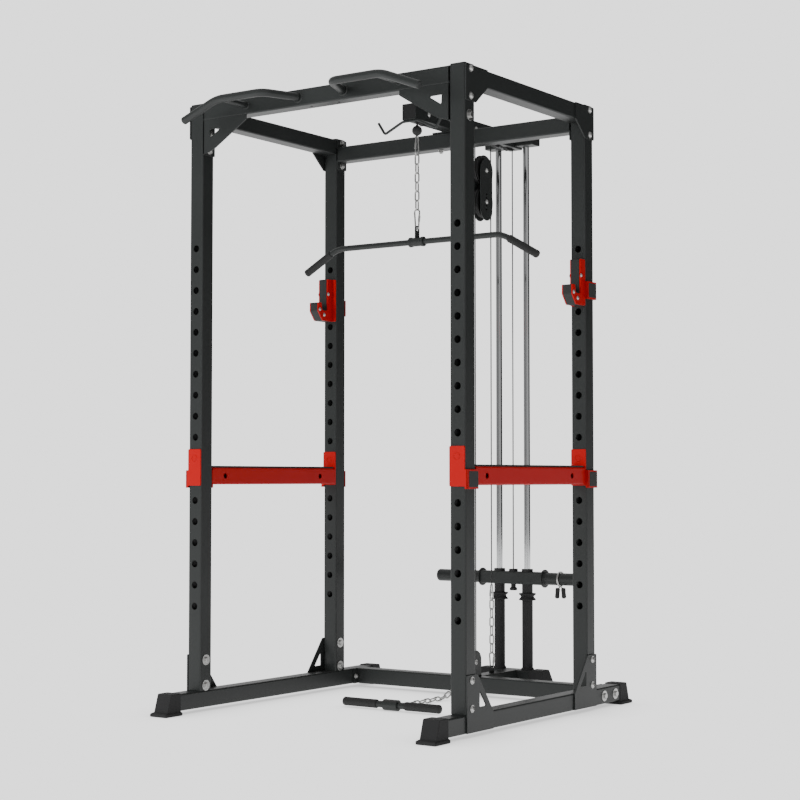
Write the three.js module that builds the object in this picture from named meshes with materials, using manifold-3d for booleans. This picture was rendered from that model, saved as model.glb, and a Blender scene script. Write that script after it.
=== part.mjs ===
// Power cage with a cable tower behind it, in millimetres.
// +X is to the right, +Y to the rear and +Z up. The floor is z = 0 and x = 0 is the plane of symmetry.
// Depths are written from the front faces of the front uprights, and the whole group is then moved
// back so that the middle of the footprint is at y = 0.

import * as THREE from 'three';
import { mergeVertices } from 'three/addons/utils/BufferGeometryUtils.js';
import Module from 'manifold-3d';

const wasm = await Module();
wasm.setup();

// ---------------------------------------------------------------- driving sizes

const gap = 0.3; // between pieces that touch
const wall = 3; // of every steel tube
const plate = 5; // thickness of flat brackets

const cage = {
  halfWidth: 566.5, // centre of an upright from the plane of symmetry
  depth: 806, // front face of a front upright to front face of a rear one
  tube: 60, // outside of the square tube
  railBottom: 15, // air under the base rails
  height: 2201, // top of the uprights
};

const holes = { top: cage.height - 528, pitch: 76.2, count: 18, across: 25 }; // flats of the hexagonal holes
const rail = { front: -150, rear: cage.depth + 292 }; // ends of the base rail tubes
const foot = { wall: 6, grip: 52, rim: 12, rimEdge: 4, skirt: 9, flareEnd: 34, taper: 20, flareBack: 3, top: 3 };
const frontBeam = { top: cage.height - 2, plateDrop: 185, ventX: 60, vent: 10 };
const gusset = { reach: 202, end: 17, footReach: 52, footRise: 17 };
const gussetWindow = [[33, 59], [31, 91], [84, 90]]; // inward and up from the lowest corner of the gusset
const rearBeam = { top: cage.height - 34, plateRise: 31, plateDrop: 89 };
const topRail = { top: cage.height - 3, plateDrop: 121, plateReach: 134, plateFoot: 62 };
const basePlate = { top: 203, reach: 160, head: 64 };
const baseWindow = { front: 12, bottom: 20, back: 42, top: 53 }; // its borders in the base plate
const crossmember = { centre: cage.depth + 170, flangeReach: 24 };

const pullUp = {
  tube: 28,
  proud: 136,
  tipX: 510,
  tipZ: cage.height - 90,
  bendX: 354,
  innerX: 149,
  rootX: 96,
  level: cage.height - 30,
  stubX: 334,
  stub: 22,
  bend: 28,
};

const towerY = cage.depth + 474; // plane of the guide rods
const boom = {
  front: 541,
  rear: towerY + cage.tube / 2,
  bottom: cage.height - 29,
  slot: 26,
  slotEase: 4,
  footWidth: 150,
};
const arm = { halfLength: 112, drop: cage.tube - 6 };
const pulley = { rim: 40, groove: 33.6, width: 18, bore: 5.6, axle: 4.6, turn: 37 };
const bigPulley = { rim: 61, groove: 54.6, width: 18, bore: 5.6, axle: 4.6, turn: 58 };
const cable = { across: 5, ease: 0.8, sides: 6 };
const latY = 595; // where the lat cable hangs
const block = {
  centre: cage.depth + 250,
  upper: cage.height - 147,
  spacing: 125,
  halfWidth: 43,
  over: 45,
  tail: 75, // below the lower axle, for the row of adjusting holes
  inside: 14,
  thick: 4,
};

const tower = { tube: 60, halfLength: 140, footReach: 57, footFlare: 19, footSkirt: 16 };
const rods = { halfSpacing: 65, across: 25 };
const sleeve = { across: 43, top: 352, ease: 0.9, bumper: 68, waist: 52, bumperHeight: 28, lip: 4 };
const carriage = { tube: 50, halfLength: 142.7, bushing: 43, below: 35, above: 11, ease: 1 };
const cableEye = { cap: 36, rise: 10, neck: 16, foot: 30, drop: 26 }; // through the middle of the carriage
const horn = { across: 49, flange: 72, flangeThick: 6, length: 208, chamfer: 3 };
const collar = {
  offset: 217,
  ease: 1.4,
  wire: 5,
  width: 10,
  grip: 18,
  gripTop: 34, // below the axis of the horn
  gripLength: 42,
  spread: 20,
  lean: 4,
};

const link = { length: 42.3, width: 21, wire: 5, pitch: 34.3 };
const clip = { length: 79, width: 28, wire: 6 };
const anchorClip = { length: 68, width: 26, wire: 6 };
const anchor = { top: 423, thick: 6, width: 22, hole: 14, edge: 5 };
const chainLinks = 6;
const hook = { rod: 10, y: 550, reach: 115, tip: 145, dip: cage.height - 71, tipZ: cage.height - 25, rootX: 34 };
const ball = { radius: 19, z: cage.height - 62 };

const latBar = { across: 22, level: cage.height - 481, bendX: 371, tipX: 519, drop: 84, bend: 26 };
const latGrip = { across: 29, start: 34, past: 4 };
const latLug = { collar: 37, collarHalf: 33, thick: 6, width: 24, hole: 15, edge: 5 };
const lowBar = {
  across: 24,
  grip: 32,
  halfLength: 213,
  y: cage.depth - 376,
  collar: 40,
  collarHalf: 32,
  gripStart: 62,
};
const lowLug = { thick: 6, reach: 44, height: 22, hole: 13, edge: 4 };
const lowPulley = { y: cage.depth + 155, z: 130, plateWidth: 76, plateTop: 175, inside: 22, seatFront: 12 };
const lowStop = { radius: 14, length: 24, inset: 2 };
const lowRun = { clipSlope: 0.62, clipDrop: 2, steepest: 0.55 }; // radians, mm, and a sine, for the low chain

const jHook = {
  hole: 1, // which hole from the top it hangs in
  width: 44, // over both cheeks, from the outside face of the upright inward
  above: 36,
  below: 132,
  back: 31,
  cradle: 38,
  lip: 22,
  lipTop: -61,
  cradleBottom: -91,
  linerProud: 2,
  brow: 10, // chamfer at the top of the throat
  fillet: 9, // chamfers in the floor of the cradle
  toeRise: 36,
  toeBack: 29,
};
const wrap = { tabTop: -43, tabBottom: -107, standOff: 5.2, pin: 24 };
const safety = {
  hole: 10, // which hole from the top its pins sit in
  above: 33,
  below: 99,
  barTop: -33,
  barBottom: -95,
  strip: 6,
  stripWidth: 50,
  stripEase: 5,
  vent: 20,
  ventFront: 69, // from the front end of the bar
  ventRear: 99,
};

// ---------------------------------------------------------------- values that follow

const half = cage.tube / 2;
const inner = cage.halfWidth - half; // inside faces of the uprights
const outer = cage.halfWidth + half; // outside faces of the uprights
const railTop = cage.railBottom + cage.tube;
const rearFace = cage.depth + cage.tube;
const boomTop = boom.bottom + cage.tube;
const pulleyZ = boom.bottom + half;
const frontPulleyY = latY + pulley.turn;
const dropPulleyY = block.centre - bigPulley.turn - pulley.turn;
const risePulleyY = block.centre + bigPulley.turn + pulley.turn;
const rearPulleyY = towerY - pulley.turn;
const blockLower = block.upper - block.spacing;
const frontStrandY = block.centre - bigPulley.turn;
const rearStrandY = block.centre + bigPulley.turn;
const bumperTop = sleeve.top + sleeve.bumperHeight;
const carriageBottom = bumperTop + carriage.below;
const carriageTop = carriageBottom + carriage.tube;
const towerBottom = cage.railBottom;
const towerTop = towerBottom + tower.tube;
const clipOverlap = 2; // how far a clip and its neighbouring link run into each other
const latClipTop = ball.z - ball.radius + clipOverlap;

// From the top of a hanging chain to its bottom, with a clip of one size at each end.
function chainReach(ends) {
  const joint = ends.wire / 2 + clipOverlap + link.wire / 2;
  return 2 * (ends.length - joint) + (chainLinks - 1) * link.pitch + link.length;
}

const latBarTipZ = latBar.level - latBar.drop;
const latHoleZ = latClipTop - chainReach(clip) + clip.wire / 2 - gap;
const anchorHoleZ = anchor.top - chainReach(anchorClip) + anchorClip.wire / 2 - gap;
const footprintFront = rail.front - foot.wall - foot.flareEnd;
const footprintRear = towerY + tower.tube / 2 + tower.footSkirt;

// ---------------------------------------------------------------- materials

const paint = () => new THREE.MeshStandardMaterial({ color: 0x2b2d2d, roughness: 0.45, metalness: 0.3 });
const redPaint = () => new THREE.MeshStandardMaterial({ color: 0xc4121a, roughness: 0.4, metalness: 0.1 });
const rubber = () => new THREE.MeshStandardMaterial({ color: 0x232323, roughness: 0.85, metalness: 0 });
const plastic = () => new THREE.MeshStandardMaterial({ color: 0x1a1a1a, roughness: 0.6, metalness: 0 });
const chrome = () => new THREE.MeshStandardMaterial({ color: 0xd8d8d8, roughness: 0.12, metalness: 1 });
const zinc = () => new THREE.MeshStandardMaterial({ color: 0xb4b4b2, roughness: 0.3, metalness: 1 });
const sheath = () => new THREE.MeshStandardMaterial({ color: 0x151515, roughness: 0.5, metalness: 0 });

// ---------------------------------------------------------------- solid helpers

function toSolid(geometry) {
  const bare = geometry.clone();
  bare.deleteAttribute('normal');
  bare.deleteAttribute('uv');
  const merged = mergeVertices(bare, 1e-4);
  const vertProperties = new Float32Array(merged.attributes.position.array);
  const triVerts = new Uint32Array(merged.index.array);
  return new wasm.Manifold(new wasm.Mesh({ numProp: 3, vertProperties, triVerts }));
}

function toGeometry(solid) {
  const mesh = solid.getMesh();
  const geometry = new THREE.BufferGeometry();
  geometry.setAttribute('position', new THREE.BufferAttribute(mesh.vertProperties, 3));
  geometry.setIndex(new THREE.BufferAttribute(mesh.triVerts, 1));
  geometry.computeVertexNormals();
  return geometry;
}

const join = (...pieces) => toGeometry(pieces.map(toSolid).reduce((whole, piece) => whole.add(piece)));

const cut = (base, ...tools) =>
  toGeometry(tools.map(toSolid).reduce((whole, tool) => whole.subtract(tool), toSolid(base)));

// The same shape on the other side of the plane of symmetry, with its faces still pointing out.
function mirrored(geometry) {
  const copy = mergeVertices(geometry);
  copy.scale(-1, 1, 1);
  const index = copy.index.array;
  for (let i = 0; i < index.length; i += 3) {
    const kept = index[i];
    index[i] = index[i + 1];
    index[i + 1] = kept;
  }
  copy.computeVertexNormals();
  return copy;
}

function box(x0, x1, y0, y1, z0, z1) {
  const geometry = new THREE.BoxGeometry(x1 - x0, y1 - y0, z1 - z0);
  return geometry.translate((x0 + x1) / 2, (y0 + y1) / 2, (z0 + z1) / 2);
}

// A straight square tube, open at both ends, along 'x', 'y' or 'z'.
function squareTube(axis, x0, x1, y0, y1, z0, z1) {
  const inset = { x: wall, y: wall, z: wall };
  inset[axis] = -1;
  const hollow = box(x0 + inset.x, x1 - inset.x, y0 + inset.y, y1 - inset.y, z0 + inset.z, z1 - inset.z);
  return cut(box(x0, x1, y0, y1, z0, z1), hollow);
}

const outline = (points) => new THREE.Shape(points.map(([a, b]) => new THREE.Vector2(a, b)));

function extruded(shape, depth, curveSegments = 6) {
  return new THREE.ExtrudeGeometry(shape, { depth, bevelEnabled: false, curveSegments });
}

// An outline of (x, z) points, between two depths.
const facing = (points, y0, y1) => extruded(outline(points), y1 - y0).rotateX(Math.PI / 2).translate(0, y1, 0);

// An outline of (y, z) points, or a ready shape, between two widths.
function sideways(points, x0, x1, curveSegments) {
  const shape = points instanceof THREE.Shape ? points : outline(points);
  const flat = extruded(shape, x1 - x0, curveSegments);
  return flat.rotateX(Math.PI / 2).rotateZ(Math.PI / 2).translate(x0, 0, 0);
}

// A round bar between two points.
function strut(from, to, across, sides = 8) {
  const a = new THREE.Vector3(...from);
  const b = new THREE.Vector3(...to);
  const geometry = new THREE.CylinderGeometry(across / 2, across / 2, a.distanceTo(b), sides);
  const turn = new THREE.Quaternion();
  turn.setFromUnitVectors(new THREE.Vector3(0, 1, 0), b.clone().sub(a).normalize());
  geometry.applyQuaternion(turn);
  const middle = a.add(b).multiplyScalar(0.5);
  return geometry.translate(middle.x, middle.y, middle.z);
}

// A round tube or bar that follows straight runs with a rounded bend at each inner point.
function bentBar(points, across, bend, sides, steps) {
  const at = points.map((point) => new THREE.Vector3(...point));
  const path = new THREE.CurvePath();
  let from = at[0];
  for (let i = 1; i < at.length - 1; i += 1) {
    const before = at[i].clone().add(from.clone().sub(at[i]).setLength(bend));
    const after = at[i].clone().add(at[i + 1].clone().sub(at[i]).setLength(bend));
    path.add(new THREE.LineCurve3(from, before));
    path.add(new THREE.QuadraticBezierCurve3(before, at[i], after));
    from = after;
  }
  path.add(new THREE.LineCurve3(from, at[at.length - 1]));
  return new THREE.ExtrudeGeometry(roundSection(across, sides), { steps, extrudePath: path });
}

function roundSection(across, sides) {
  const points = [];
  for (let i = 0; i < sides; i += 1) {
    const angle = (i / sides) * Math.PI * 2;
    points.push([(across / 2) * Math.cos(angle), (across / 2) * Math.sin(angle)]);
  }
  return outline(points);
}

// A profile of (radius, height) points turned about +Z, about +X, or about +Y.
function turned(profile, axis, sides) {
  const points = profile.map(([radius, height]) => new THREE.Vector2(radius, height));
  const geometry = new THREE.LatheGeometry(points, sides);
  if (axis === 'z') geometry.rotateX(Math.PI / 2);
  if (axis === 'x') geometry.rotateZ(-Math.PI / 2);
  return geometry;
}

function ring(innerRadius, outerRadius, low, high) {
  return [[innerRadius, low], [outerRadius, low], [outerRadius, high], [innerRadius, high], [innerRadius, low]];
}

// ---------------------------------------------------------------- the group

const powerCage = new THREE.Group();
powerCage.position.y = -(footprintFront + footprintRear) / 2;

function add(name, geometry, material) {
  const mesh = new THREE.Mesh(geometry, material);
  mesh.name = name;
  powerCage.add(mesh);
}

// A right-hand piece and its mirror image.
function addPair(name, geometry, material) {
  add(`right_${name}`, geometry, material());
  add(`left_${name}`, mirrored(geometry), material());
}

// ---------------------------------------------------------------- cage frame

function upright(y) {
  const tube = squareTube('z', inner, outer, y, y + cage.tube, railTop + gap, cage.height);
  const across = holes.across / Math.cos(Math.PI / 6);
  const bores = [];
  for (let i = 0; i < holes.count; i += 1) {
    const z = holes.top - i * holes.pitch;
    bores.push(strut([cage.halfWidth, y - 1, z], [cage.halfWidth, y + cage.tube + 1, z], across, 6));
  }
  return cut(tube, ...bores);
}

// The base rail, with a plate up the outside of each upright that stands on it.
function baseRail() {
  const tube = squareTube('y', inner + gap, outer + gap, rail.front, rail.rear, cage.railBottom, railTop);
  const low = cage.railBottom + 1;
  const slope = railTop - 1;
  const frontOutline = [
    [0, low],
    [basePlate.reach, low],
    [basePlate.reach, slope],
    [basePlate.head, basePlate.top],
    [0, basePlate.top],
  ];
  const window = [
    [basePlate.head + baseWindow.front, railTop + baseWindow.bottom],
    [basePlate.reach - baseWindow.back, railTop + baseWindow.bottom],
    [basePlate.head + baseWindow.front, basePlate.top - baseWindow.top],
  ];
  const flip = ([y, z]) => [rearFace - y, z];
  const span = [outer + gap, outer + gap + plate];
  const cutSpan = [outer, outer + gap + plate + 1];
  const frontPlate = cut(sideways(frontOutline, ...span), sideways(window, ...cutSpan));
  const rearPlate = cut(
    sideways(frontOutline.map(flip).reverse(), ...span),
    sideways(window.map(flip).reverse(), ...cutSpan),
  );
  return join(tube, frontPlate, rearPlate);
}

function topSideRail() {
  const low = topRail.top - cage.tube;
  const tube = squareTube('y', inner + gap, outer + gap, cage.tube + gap, cage.depth - gap, low, topRail.top);
  const frontOutline = [
    [0, topRail.top - topRail.plateDrop],
    [topRail.plateFoot, topRail.top - topRail.plateDrop],
    [topRail.plateReach, low],
    [topRail.plateReach, topRail.top],
    [0, topRail.top],
  ];
  const flipped = frontOutline.map(([y, z]) => [rearFace - y, z]).reverse();
  const span = [outer + gap, outer + gap + plate];
  return join(tube, sideways(frontOutline, ...span), sideways(flipped, ...span));
}

// A crossbeam between the uprights, with an end plate on the inside face of each.
function beamWithPlates(y, top, plateRise, plateDrop) {
  const end = inner - gap;
  const tube = box(-end, end, y, y + cage.tube, top - cage.tube, top);
  const ends = [-1, 1].map((side) => {
    const faces = [side * end, side * (end - plate)].sort((a, b) => a - b);
    return box(...faces, y, y + cage.tube, top - plateDrop, top + plateRise);
  });
  const bottom = top - cage.tube;
  const hollow = box(-end - 1, end + 1, y + wall, y + cage.tube - wall, bottom + wall, top - wall);
  return cut(join(tube, ...ends), hollow);
}

function frontCrossbeam() {
  const bottom = frontBeam.top - cage.tube;
  const end = inner - gap;
  const low = frontBeam.top - frontBeam.plateDrop;
  const corners = [
    [end, low],
    [end, bottom + 1],
    [end - gusset.reach, bottom + 1],
    [end - gusset.reach, bottom - gusset.end],
    [end - gusset.footReach, low + gusset.footRise],
  ];
  const window = gussetWindow.map(([inward, rise]) => [end - inward, low + rise]);
  const right = cut(facing(corners, 0, plate), facing(window, -1, plate + 1));
  const vents = [-1, 1].map((side) => {
    const x = side * frontBeam.ventX;
    return strut([x, half, bottom - 1], [x, half, bottom + wall + 1], frontBeam.vent, 8);
  });
  return cut(join(beamWithPlates(0, frontBeam.top, 0, frontBeam.plateDrop), right, mirrored(right)), ...vents);
}

// The cheeks, foot and axle of the low pulley, welded on top of the crossmember.
function lowBracket() {
  const radius = lowPulley.plateWidth / 2;
  const centreZ = lowPulley.plateTop - radius;
  const shape = new THREE.Shape();
  shape.moveTo(lowPulley.y - radius, railTop - 1);
  shape.lineTo(lowPulley.y + radius, railTop - 1);
  shape.absarc(lowPulley.y, centreZ, radius, 0, Math.PI, false);
  shape.closePath();
  const cheek = sideways(shape, lowPulley.inside, lowPulley.inside + wall, 6);
  const end = lowPulley.inside + wall;
  const axle = strut([-end, lowPulley.y, lowPulley.z], [end, lowPulley.y, lowPulley.z], pulley.axle * 2);
  const seatFront = lowPulley.y - lowPulley.seatFront;
  const seat = box(-end, end, seatFront, lowPulley.y + radius, railTop - 1, railTop + wall);
  return join(cheek, mirrored(cheek), axle, seat);
}

function lowerCrossmember() {
  const end = inner;
  const y0 = crossmember.centre - half;
  const y1 = crossmember.centre + half;
  const tube = squareTube('x', -end, end, y0, y1, cage.railBottom, railTop);
  const reach = crossmember.flangeReach;
  const flange = cut(
    box(end - plate, end, y0 - reach, y1 + reach, cage.railBottom, railTop),
    box(end - plate - 1, end + 1, y0 + wall, y1 - wall, cage.railBottom + wall, railTop - wall),
  );
  return join(tube, flange, mirrored(flange), lowBracket());
}

// A rubber cap over the end of a rail: straight sides, a sloping toe and a skirt along the floor.
// end is the rail's end face and way the direction that it points.
function railFoot(end, way) {
  const top = railTop + foot.top;
  const side = half + foot.wall / 2;
  const flare = half + foot.skirt;
  const nose = end + way * foot.wall;
  const toe = nose + way * foot.flareEnd;
  const ankle = nose + way * foot.taper;
  const back = end - way * (foot.grip - foot.wall);
  const heel = back - way * foot.flareBack;
  const body = frustum(
    [cage.halfWidth + gap, flare, [heel, toe], 0],
    [cage.halfWidth + gap, flare, [heel, toe], foot.rim],
    [cage.halfWidth + gap, side, [back, ankle], foot.rim + foot.rimEdge],
    [cage.halfWidth + gap, side, [back, nose], top],
  );
  const pocketEnds = [end + way * gap, heel - way].sort((a, b) => a - b);
  const pocket = box(inner, outer + 2 * gap, ...pocketEnds, cage.railBottom - gap, railTop + gap);
  return cut(body, pocket);
}

// A block whose width and length change between levels: each is [centre x, half width, [y, y], z].
function frustum(...levels) {
  const rows = levels.map(([x, width, ends, z]) => {
    const [y0, y1] = [...ends].sort((a, b) => a - b);
    return [[x - width, y0, z], [x + width, y0, z], [x + width, y1, z], [x - width, y1, z]];
  });
  const triangles = [];
  const quad = (a, b, c, d) => triangles.push(a, b, c, a, c, d);
  const last = rows[rows.length - 1];
  quad(rows[0][3], rows[0][2], rows[0][1], rows[0][0]);
  quad(last[0], last[1], last[2], last[3]);
  for (let i = 1; i < rows.length; i += 1) {
    for (let k = 0; k < 4; k += 1) {
      const next = (k + 1) % 4;
      quad(rows[i - 1][k], rows[i - 1][next], rows[i][next], rows[i][k]);
    }
  }
  const geometry = new THREE.BufferGeometry();
  geometry.setAttribute('position', new THREE.Float32BufferAttribute(triangles.flat(), 3));
  return mergeVertices(geometry);
}

addPair('base_rail', baseRail(), paint);
for (const [place, y] of [['front', 0], ['rear', cage.depth]]) {
  add(`${place}_right_upright`, upright(y), paint());
  add(`${place}_left_upright`, mirrored(upright(y)), paint());
}
addPair('top_rail', topSideRail(), paint);
add('front_crossbeam', frontCrossbeam(), paint());
const rearBeamSolid = beamWithPlates(cage.depth, rearBeam.top, rearBeam.plateRise, rearBeam.plateDrop);
add('rear_crossbeam', rearBeamSolid, paint());
add('lower_crossmember', lowerCrossmember(), paint());
addPair('front_foot', railFoot(rail.front, -1), rubber);
addPair('rear_foot', railFoot(rail.rear, 1), rubber);

// ---------------------------------------------------------------- pull-up handles

function pullUpHandle() {
  const root = -gap;
  const bar = bentBar(
    [
      [pullUp.tipX, -pullUp.proud, pullUp.tipZ],
      [pullUp.bendX, -pullUp.proud, pullUp.level],
      [pullUp.innerX, -pullUp.proud, pullUp.level],
      [pullUp.rootX, root, pullUp.level],
    ],
    pullUp.tube,
    pullUp.bend,
    8,
    14,
  );
  const stub = strut([pullUp.stubX, -pullUp.proud, pullUp.level], [pullUp.stubX, root, pullUp.level], pullUp.stub, 10);
  const behind = box(0, pullUp.tipX, root, cage.tube, pullUp.level - cage.tube, pullUp.level + cage.tube);
  return cut(join(bar, stub), behind);
}

addPair('pull_up_handle', pullUpHandle(), paint);

// ---------------------------------------------------------------- boom and pulleys

function pulleyAt(y, z, size) {
  const side = size.width / 2;
  const floor = cable.across / 2 + cable.ease;
  const profile = [
    [size.bore, -side],
    [size.rim, -side],
    [size.groove, -floor],
    [size.groove, floor],
    [size.rim, side],
    [size.bore, side],
    [size.bore, -side],
  ];
  return turned(profile, 'x', 12).translate(0, y, z);
}

const boomPulleys = {
  boom_front_pulley: frontPulleyY,
  boom_drop_pulley: dropPulleyY,
  boom_rise_pulley: risePulleyY,
  boom_rear_pulley: rearPulleyY,
};

// The tube over the top of the cage, with the arms that hold the guide rods and the bar rest.
function boomFrame() {
  const armBottom = boomTop - arm.drop;
  const y0 = towerY - half;
  const shell = join(
    box(-half, half, boom.front, boom.rear, boom.bottom, boomTop),
    box(-arm.halfLength, arm.halfLength, y0, y0 + cage.tube, armBottom, boomTop),
  );
  const low = boom.bottom + wall;
  const high = boomTop - wall;
  const hollow = box(-half + wall, half - wall, boom.front - 1, boom.rear - wall, low, high);
  const armEnds = arm.halfLength + 1;
  const armHollow = box(-armEnds, armEnds, y0 + wall, y0 + cage.tube - wall, armBottom + wall, high);
  const slots = Object.values(boomPulleys).map((y) => {
    const reach = pulley.rim + boom.slotEase;
    return box(-boom.slot / 2, boom.slot / 2, y - reach, y + reach, boom.bottom - 1, boomTop + 1);
  });
  const open = cut(shell, hollow, armHollow, ...slots);
  const axles = Object.values(boomPulleys).map((y) =>
    strut([-half + 1, y, pulleyZ], [half - 1, y, pulleyZ], pulley.axle * 2),
  );
  const seat = box(
    -boom.footWidth / 2,
    boom.footWidth / 2,
    cage.depth,
    rearFace,
    rearBeam.top + gap,
    boom.bottom + 0.5,
  );
  return join(open, seat, ...axles, ...barRest());
}

// A bent rod under the front of the boom, with an upturned hook on each side for the lat bar.
function barRest() {
  const level = boom.bottom - hook.rod / 2 + 1;
  const points = [
    [-hook.tip, hook.y, hook.tipZ],
    [-hook.reach, hook.y, hook.dip],
    [-hook.rootX, hook.y, level],
    [hook.rootX, hook.y, level],
    [hook.reach, hook.y, hook.dip],
    [hook.tip, hook.y, hook.tipZ],
  ];
  const rodsInIt = [];
  for (let i = 1; i < points.length; i += 1) {
    rodsInIt.push(strut(points[i - 1], points[i], hook.rod, 6));
  }
  return rodsInIt;
}

add('boom', boomFrame(), paint());
for (const [name, y] of Object.entries(boomPulleys)) {
  add(name, pulleyAt(y, pulleyZ, pulley), plastic());
}

// ---------------------------------------------------------------- cables that stay still

// A quarter or less of a turn of cable round a pulley, between two angles measured from the rear.
class PulleyTurn extends THREE.Curve {
  constructor(y, z, radius, from, to) {
    super();
    Object.assign(this, { y, z, radius, from, to });
  }

  getPoint(t, target = new THREE.Vector3()) {
    const angle = this.from + (this.to - this.from) * t;
    return target.set(0, this.y + this.radius * Math.cos(angle), this.z + this.radius * Math.sin(angle));
  }
}

function cableTurn(y, z, radius, from, to) {
  const path = new PulleyTurn(y, z, radius, from, to);
  const section = roundSection(cable.across, cable.sides);
  return new THREE.ExtrudeGeometry(section, { steps: 5, extrudePath: path });
}

// Over two pulleys in the boom, from the front of one to the back of the other.
function cableOver(yFront, yRear) {
  const top = pulleyZ + pulley.turn;
  const up = Math.PI / 2;
  return join(
    cableTurn(yFront, pulleyZ, pulley.turn, Math.PI, up),
    strut([0, yFront - 0.5, top], [0, yRear + 0.5, top], cable.across, cable.sides),
    cableTurn(yRear, pulleyZ, pulley.turn, up, 0),
  );
}

function lowCable() {
  const low = lowPulley.z - pulley.turn;
  return join(
    strut([0, lowStopRear() + gap, low], [0, lowPulley.y + 0.5, low], cable.across, cable.sides),
    cableTurn(lowPulley.y, lowPulley.z, pulley.turn, -Math.PI / 2, 0),
  );
}

const lowStopRear = () => lowPulley.y - lowPulley.plateWidth / 2 + lowStop.inset;
const strand = (y, low, high) => strut([0, y, low], [0, y, high], cable.across, cable.sides);

add('boom_front_cable', cableOver(frontPulleyY, dropPulleyY), sheath());
add('boom_rear_cable', cableOver(risePulleyY, rearPulleyY), sheath());
add('low_cable', lowCable(), sheath());

// ---------------------------------------------------------------- floating pulley block

function blockFrame() {
  const top = block.upper + block.over - block.halfWidth;
  const bottom = blockLower - block.tail + block.halfWidth;
  const shape = new THREE.Shape();
  shape.absarc(block.centre, top, block.halfWidth, 0, Math.PI, false);
  shape.absarc(block.centre, bottom, block.halfWidth, Math.PI, Math.PI * 2, false);
  shape.closePath();
  const cheek = sideways(shape, block.inside, block.inside + block.thick, 6);
  const end = block.inside + block.thick;
  const axles = [block.upper, blockLower].map((z) =>
    strut([-end, block.centre, z], [end, block.centre, z], bigPulley.axle * 2),
  );
  return join(cheek, mirrored(cheek), ...axles);
}

add('floating_block', blockFrame(), paint());
add('upper_block_pulley', pulleyAt(block.centre, block.upper, bigPulley), plastic());
add('lower_block_pulley', pulleyAt(block.centre, blockLower, bigPulley), plastic());

add('upper_front_strand', strand(frontStrandY, block.upper, pulleyZ - gap), sheath());
add('upper_rear_strand', strand(rearStrandY, block.upper, pulleyZ - gap), sheath());
add('lower_front_strand', strand(frontStrandY, lowPulley.z + gap, blockLower), sheath());
add('lower_rear_strand', strand(rearStrandY, anchor.top + gap, blockLower), sheath());

// ---------------------------------------------------------------- low pulley

add('low_pulley', pulleyAt(lowPulley.y, lowPulley.z, pulley), plastic());

// ---------------------------------------------------------------- tower behind the cage

function towerBase() {
  const y0 = crossmember.centre + half + gap;
  const yTube = towerY - tower.tube / 2;
  const side = tower.tube / 2;
  const end = tower.halfLength;
  const shell = join(
    box(-side, side, y0, yTube + wall, towerBottom, towerTop),
    box(-end, end, yTube, yTube + tower.tube, towerBottom, towerTop),
  );
  const low = towerBottom + wall;
  const high = towerTop - wall;
  const eye = box(
    -anchor.thick / 2,
    anchor.thick / 2,
    rearStrandY - anchor.width / 2,
    rearStrandY + anchor.width / 2,
    high + 1,
    anchorHoleZ + anchor.hole / 2 + anchor.edge,
  );
  return cut(
    join(shell, eye),
    strut([-anchor.thick, rearStrandY, anchorHoleZ], [anchor.thick, rearStrandY, anchorHoleZ], anchor.hole, 8),
    box(-side + wall, side - wall, y0 - 1, yTube + tower.tube - wall, low, high),
    box(-end - 1, end + 1, yTube + wall, yTube + tower.tube - wall, low, high),
  );
}

// A rubber cap on one end of the tower's cross tube.
function towerFoot() {
  const nose = tower.halfLength + foot.wall;
  const back = nose - tower.footReach;
  const middle = (nose + back) / 2;
  const long = (nose - back) / 2;
  const side = tower.tube / 2 + foot.wall / 2;
  const flare = tower.tube / 2 + tower.footSkirt;
  const ends = (reach) => [towerY - reach, towerY + reach];
  const body = frustum(
    [middle + tower.footFlare / 2, long + tower.footFlare / 2, ends(flare), 0],
    [middle + tower.footFlare / 2, long + tower.footFlare / 2, ends(flare), foot.rim],
    [middle, long, ends(side), towerTop + foot.top],
  );
  const reach = tower.tube / 2 + gap;
  const pocket = box(0, tower.halfLength + gap, ...ends(reach), towerBottom - gap, towerTop + gap);
  return cut(body, pocket);
}

// A rubber sleeve round the foot of a guide rod, ending in the bumper that the carriage rests on.
function guideSleeve() {
  const bore = rods.across / 2 + sleeve.ease;
  const rim = sleeve.bumper / 2;
  const profile = [
    [bore, towerTop + gap],
    [sleeve.across / 2, towerTop + gap],
    [sleeve.across / 2, sleeve.top],
    [rim, sleeve.top],
    [rim, sleeve.top + sleeve.lip],
    [sleeve.waist / 2, sleeve.top + sleeve.bumperHeight / 2],
    [rim, bumperTop - sleeve.lip],
    [rim, bumperTop - gap],
    [bore, bumperTop - gap],
    [bore, towerTop + gap],
  ];
  return turned(profile, 'z', 12).translate(rods.halfSpacing, towerY, 0);
}

function guideRod() {
  const top = boomTop - arm.drop - gap;
  const x = rods.halfSpacing;
  return strut([x, towerY, towerTop + gap], [x, towerY, top], rods.across, 12);
}

add('tower_base', towerBase(), paint());
addPair('tower_foot', towerFoot(), rubber);
addPair('guide_rod', guideRod(), chrome);
addPair('guide_sleeve', guideSleeve(), rubber);

// ---------------------------------------------------------------- weight carriage

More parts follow.
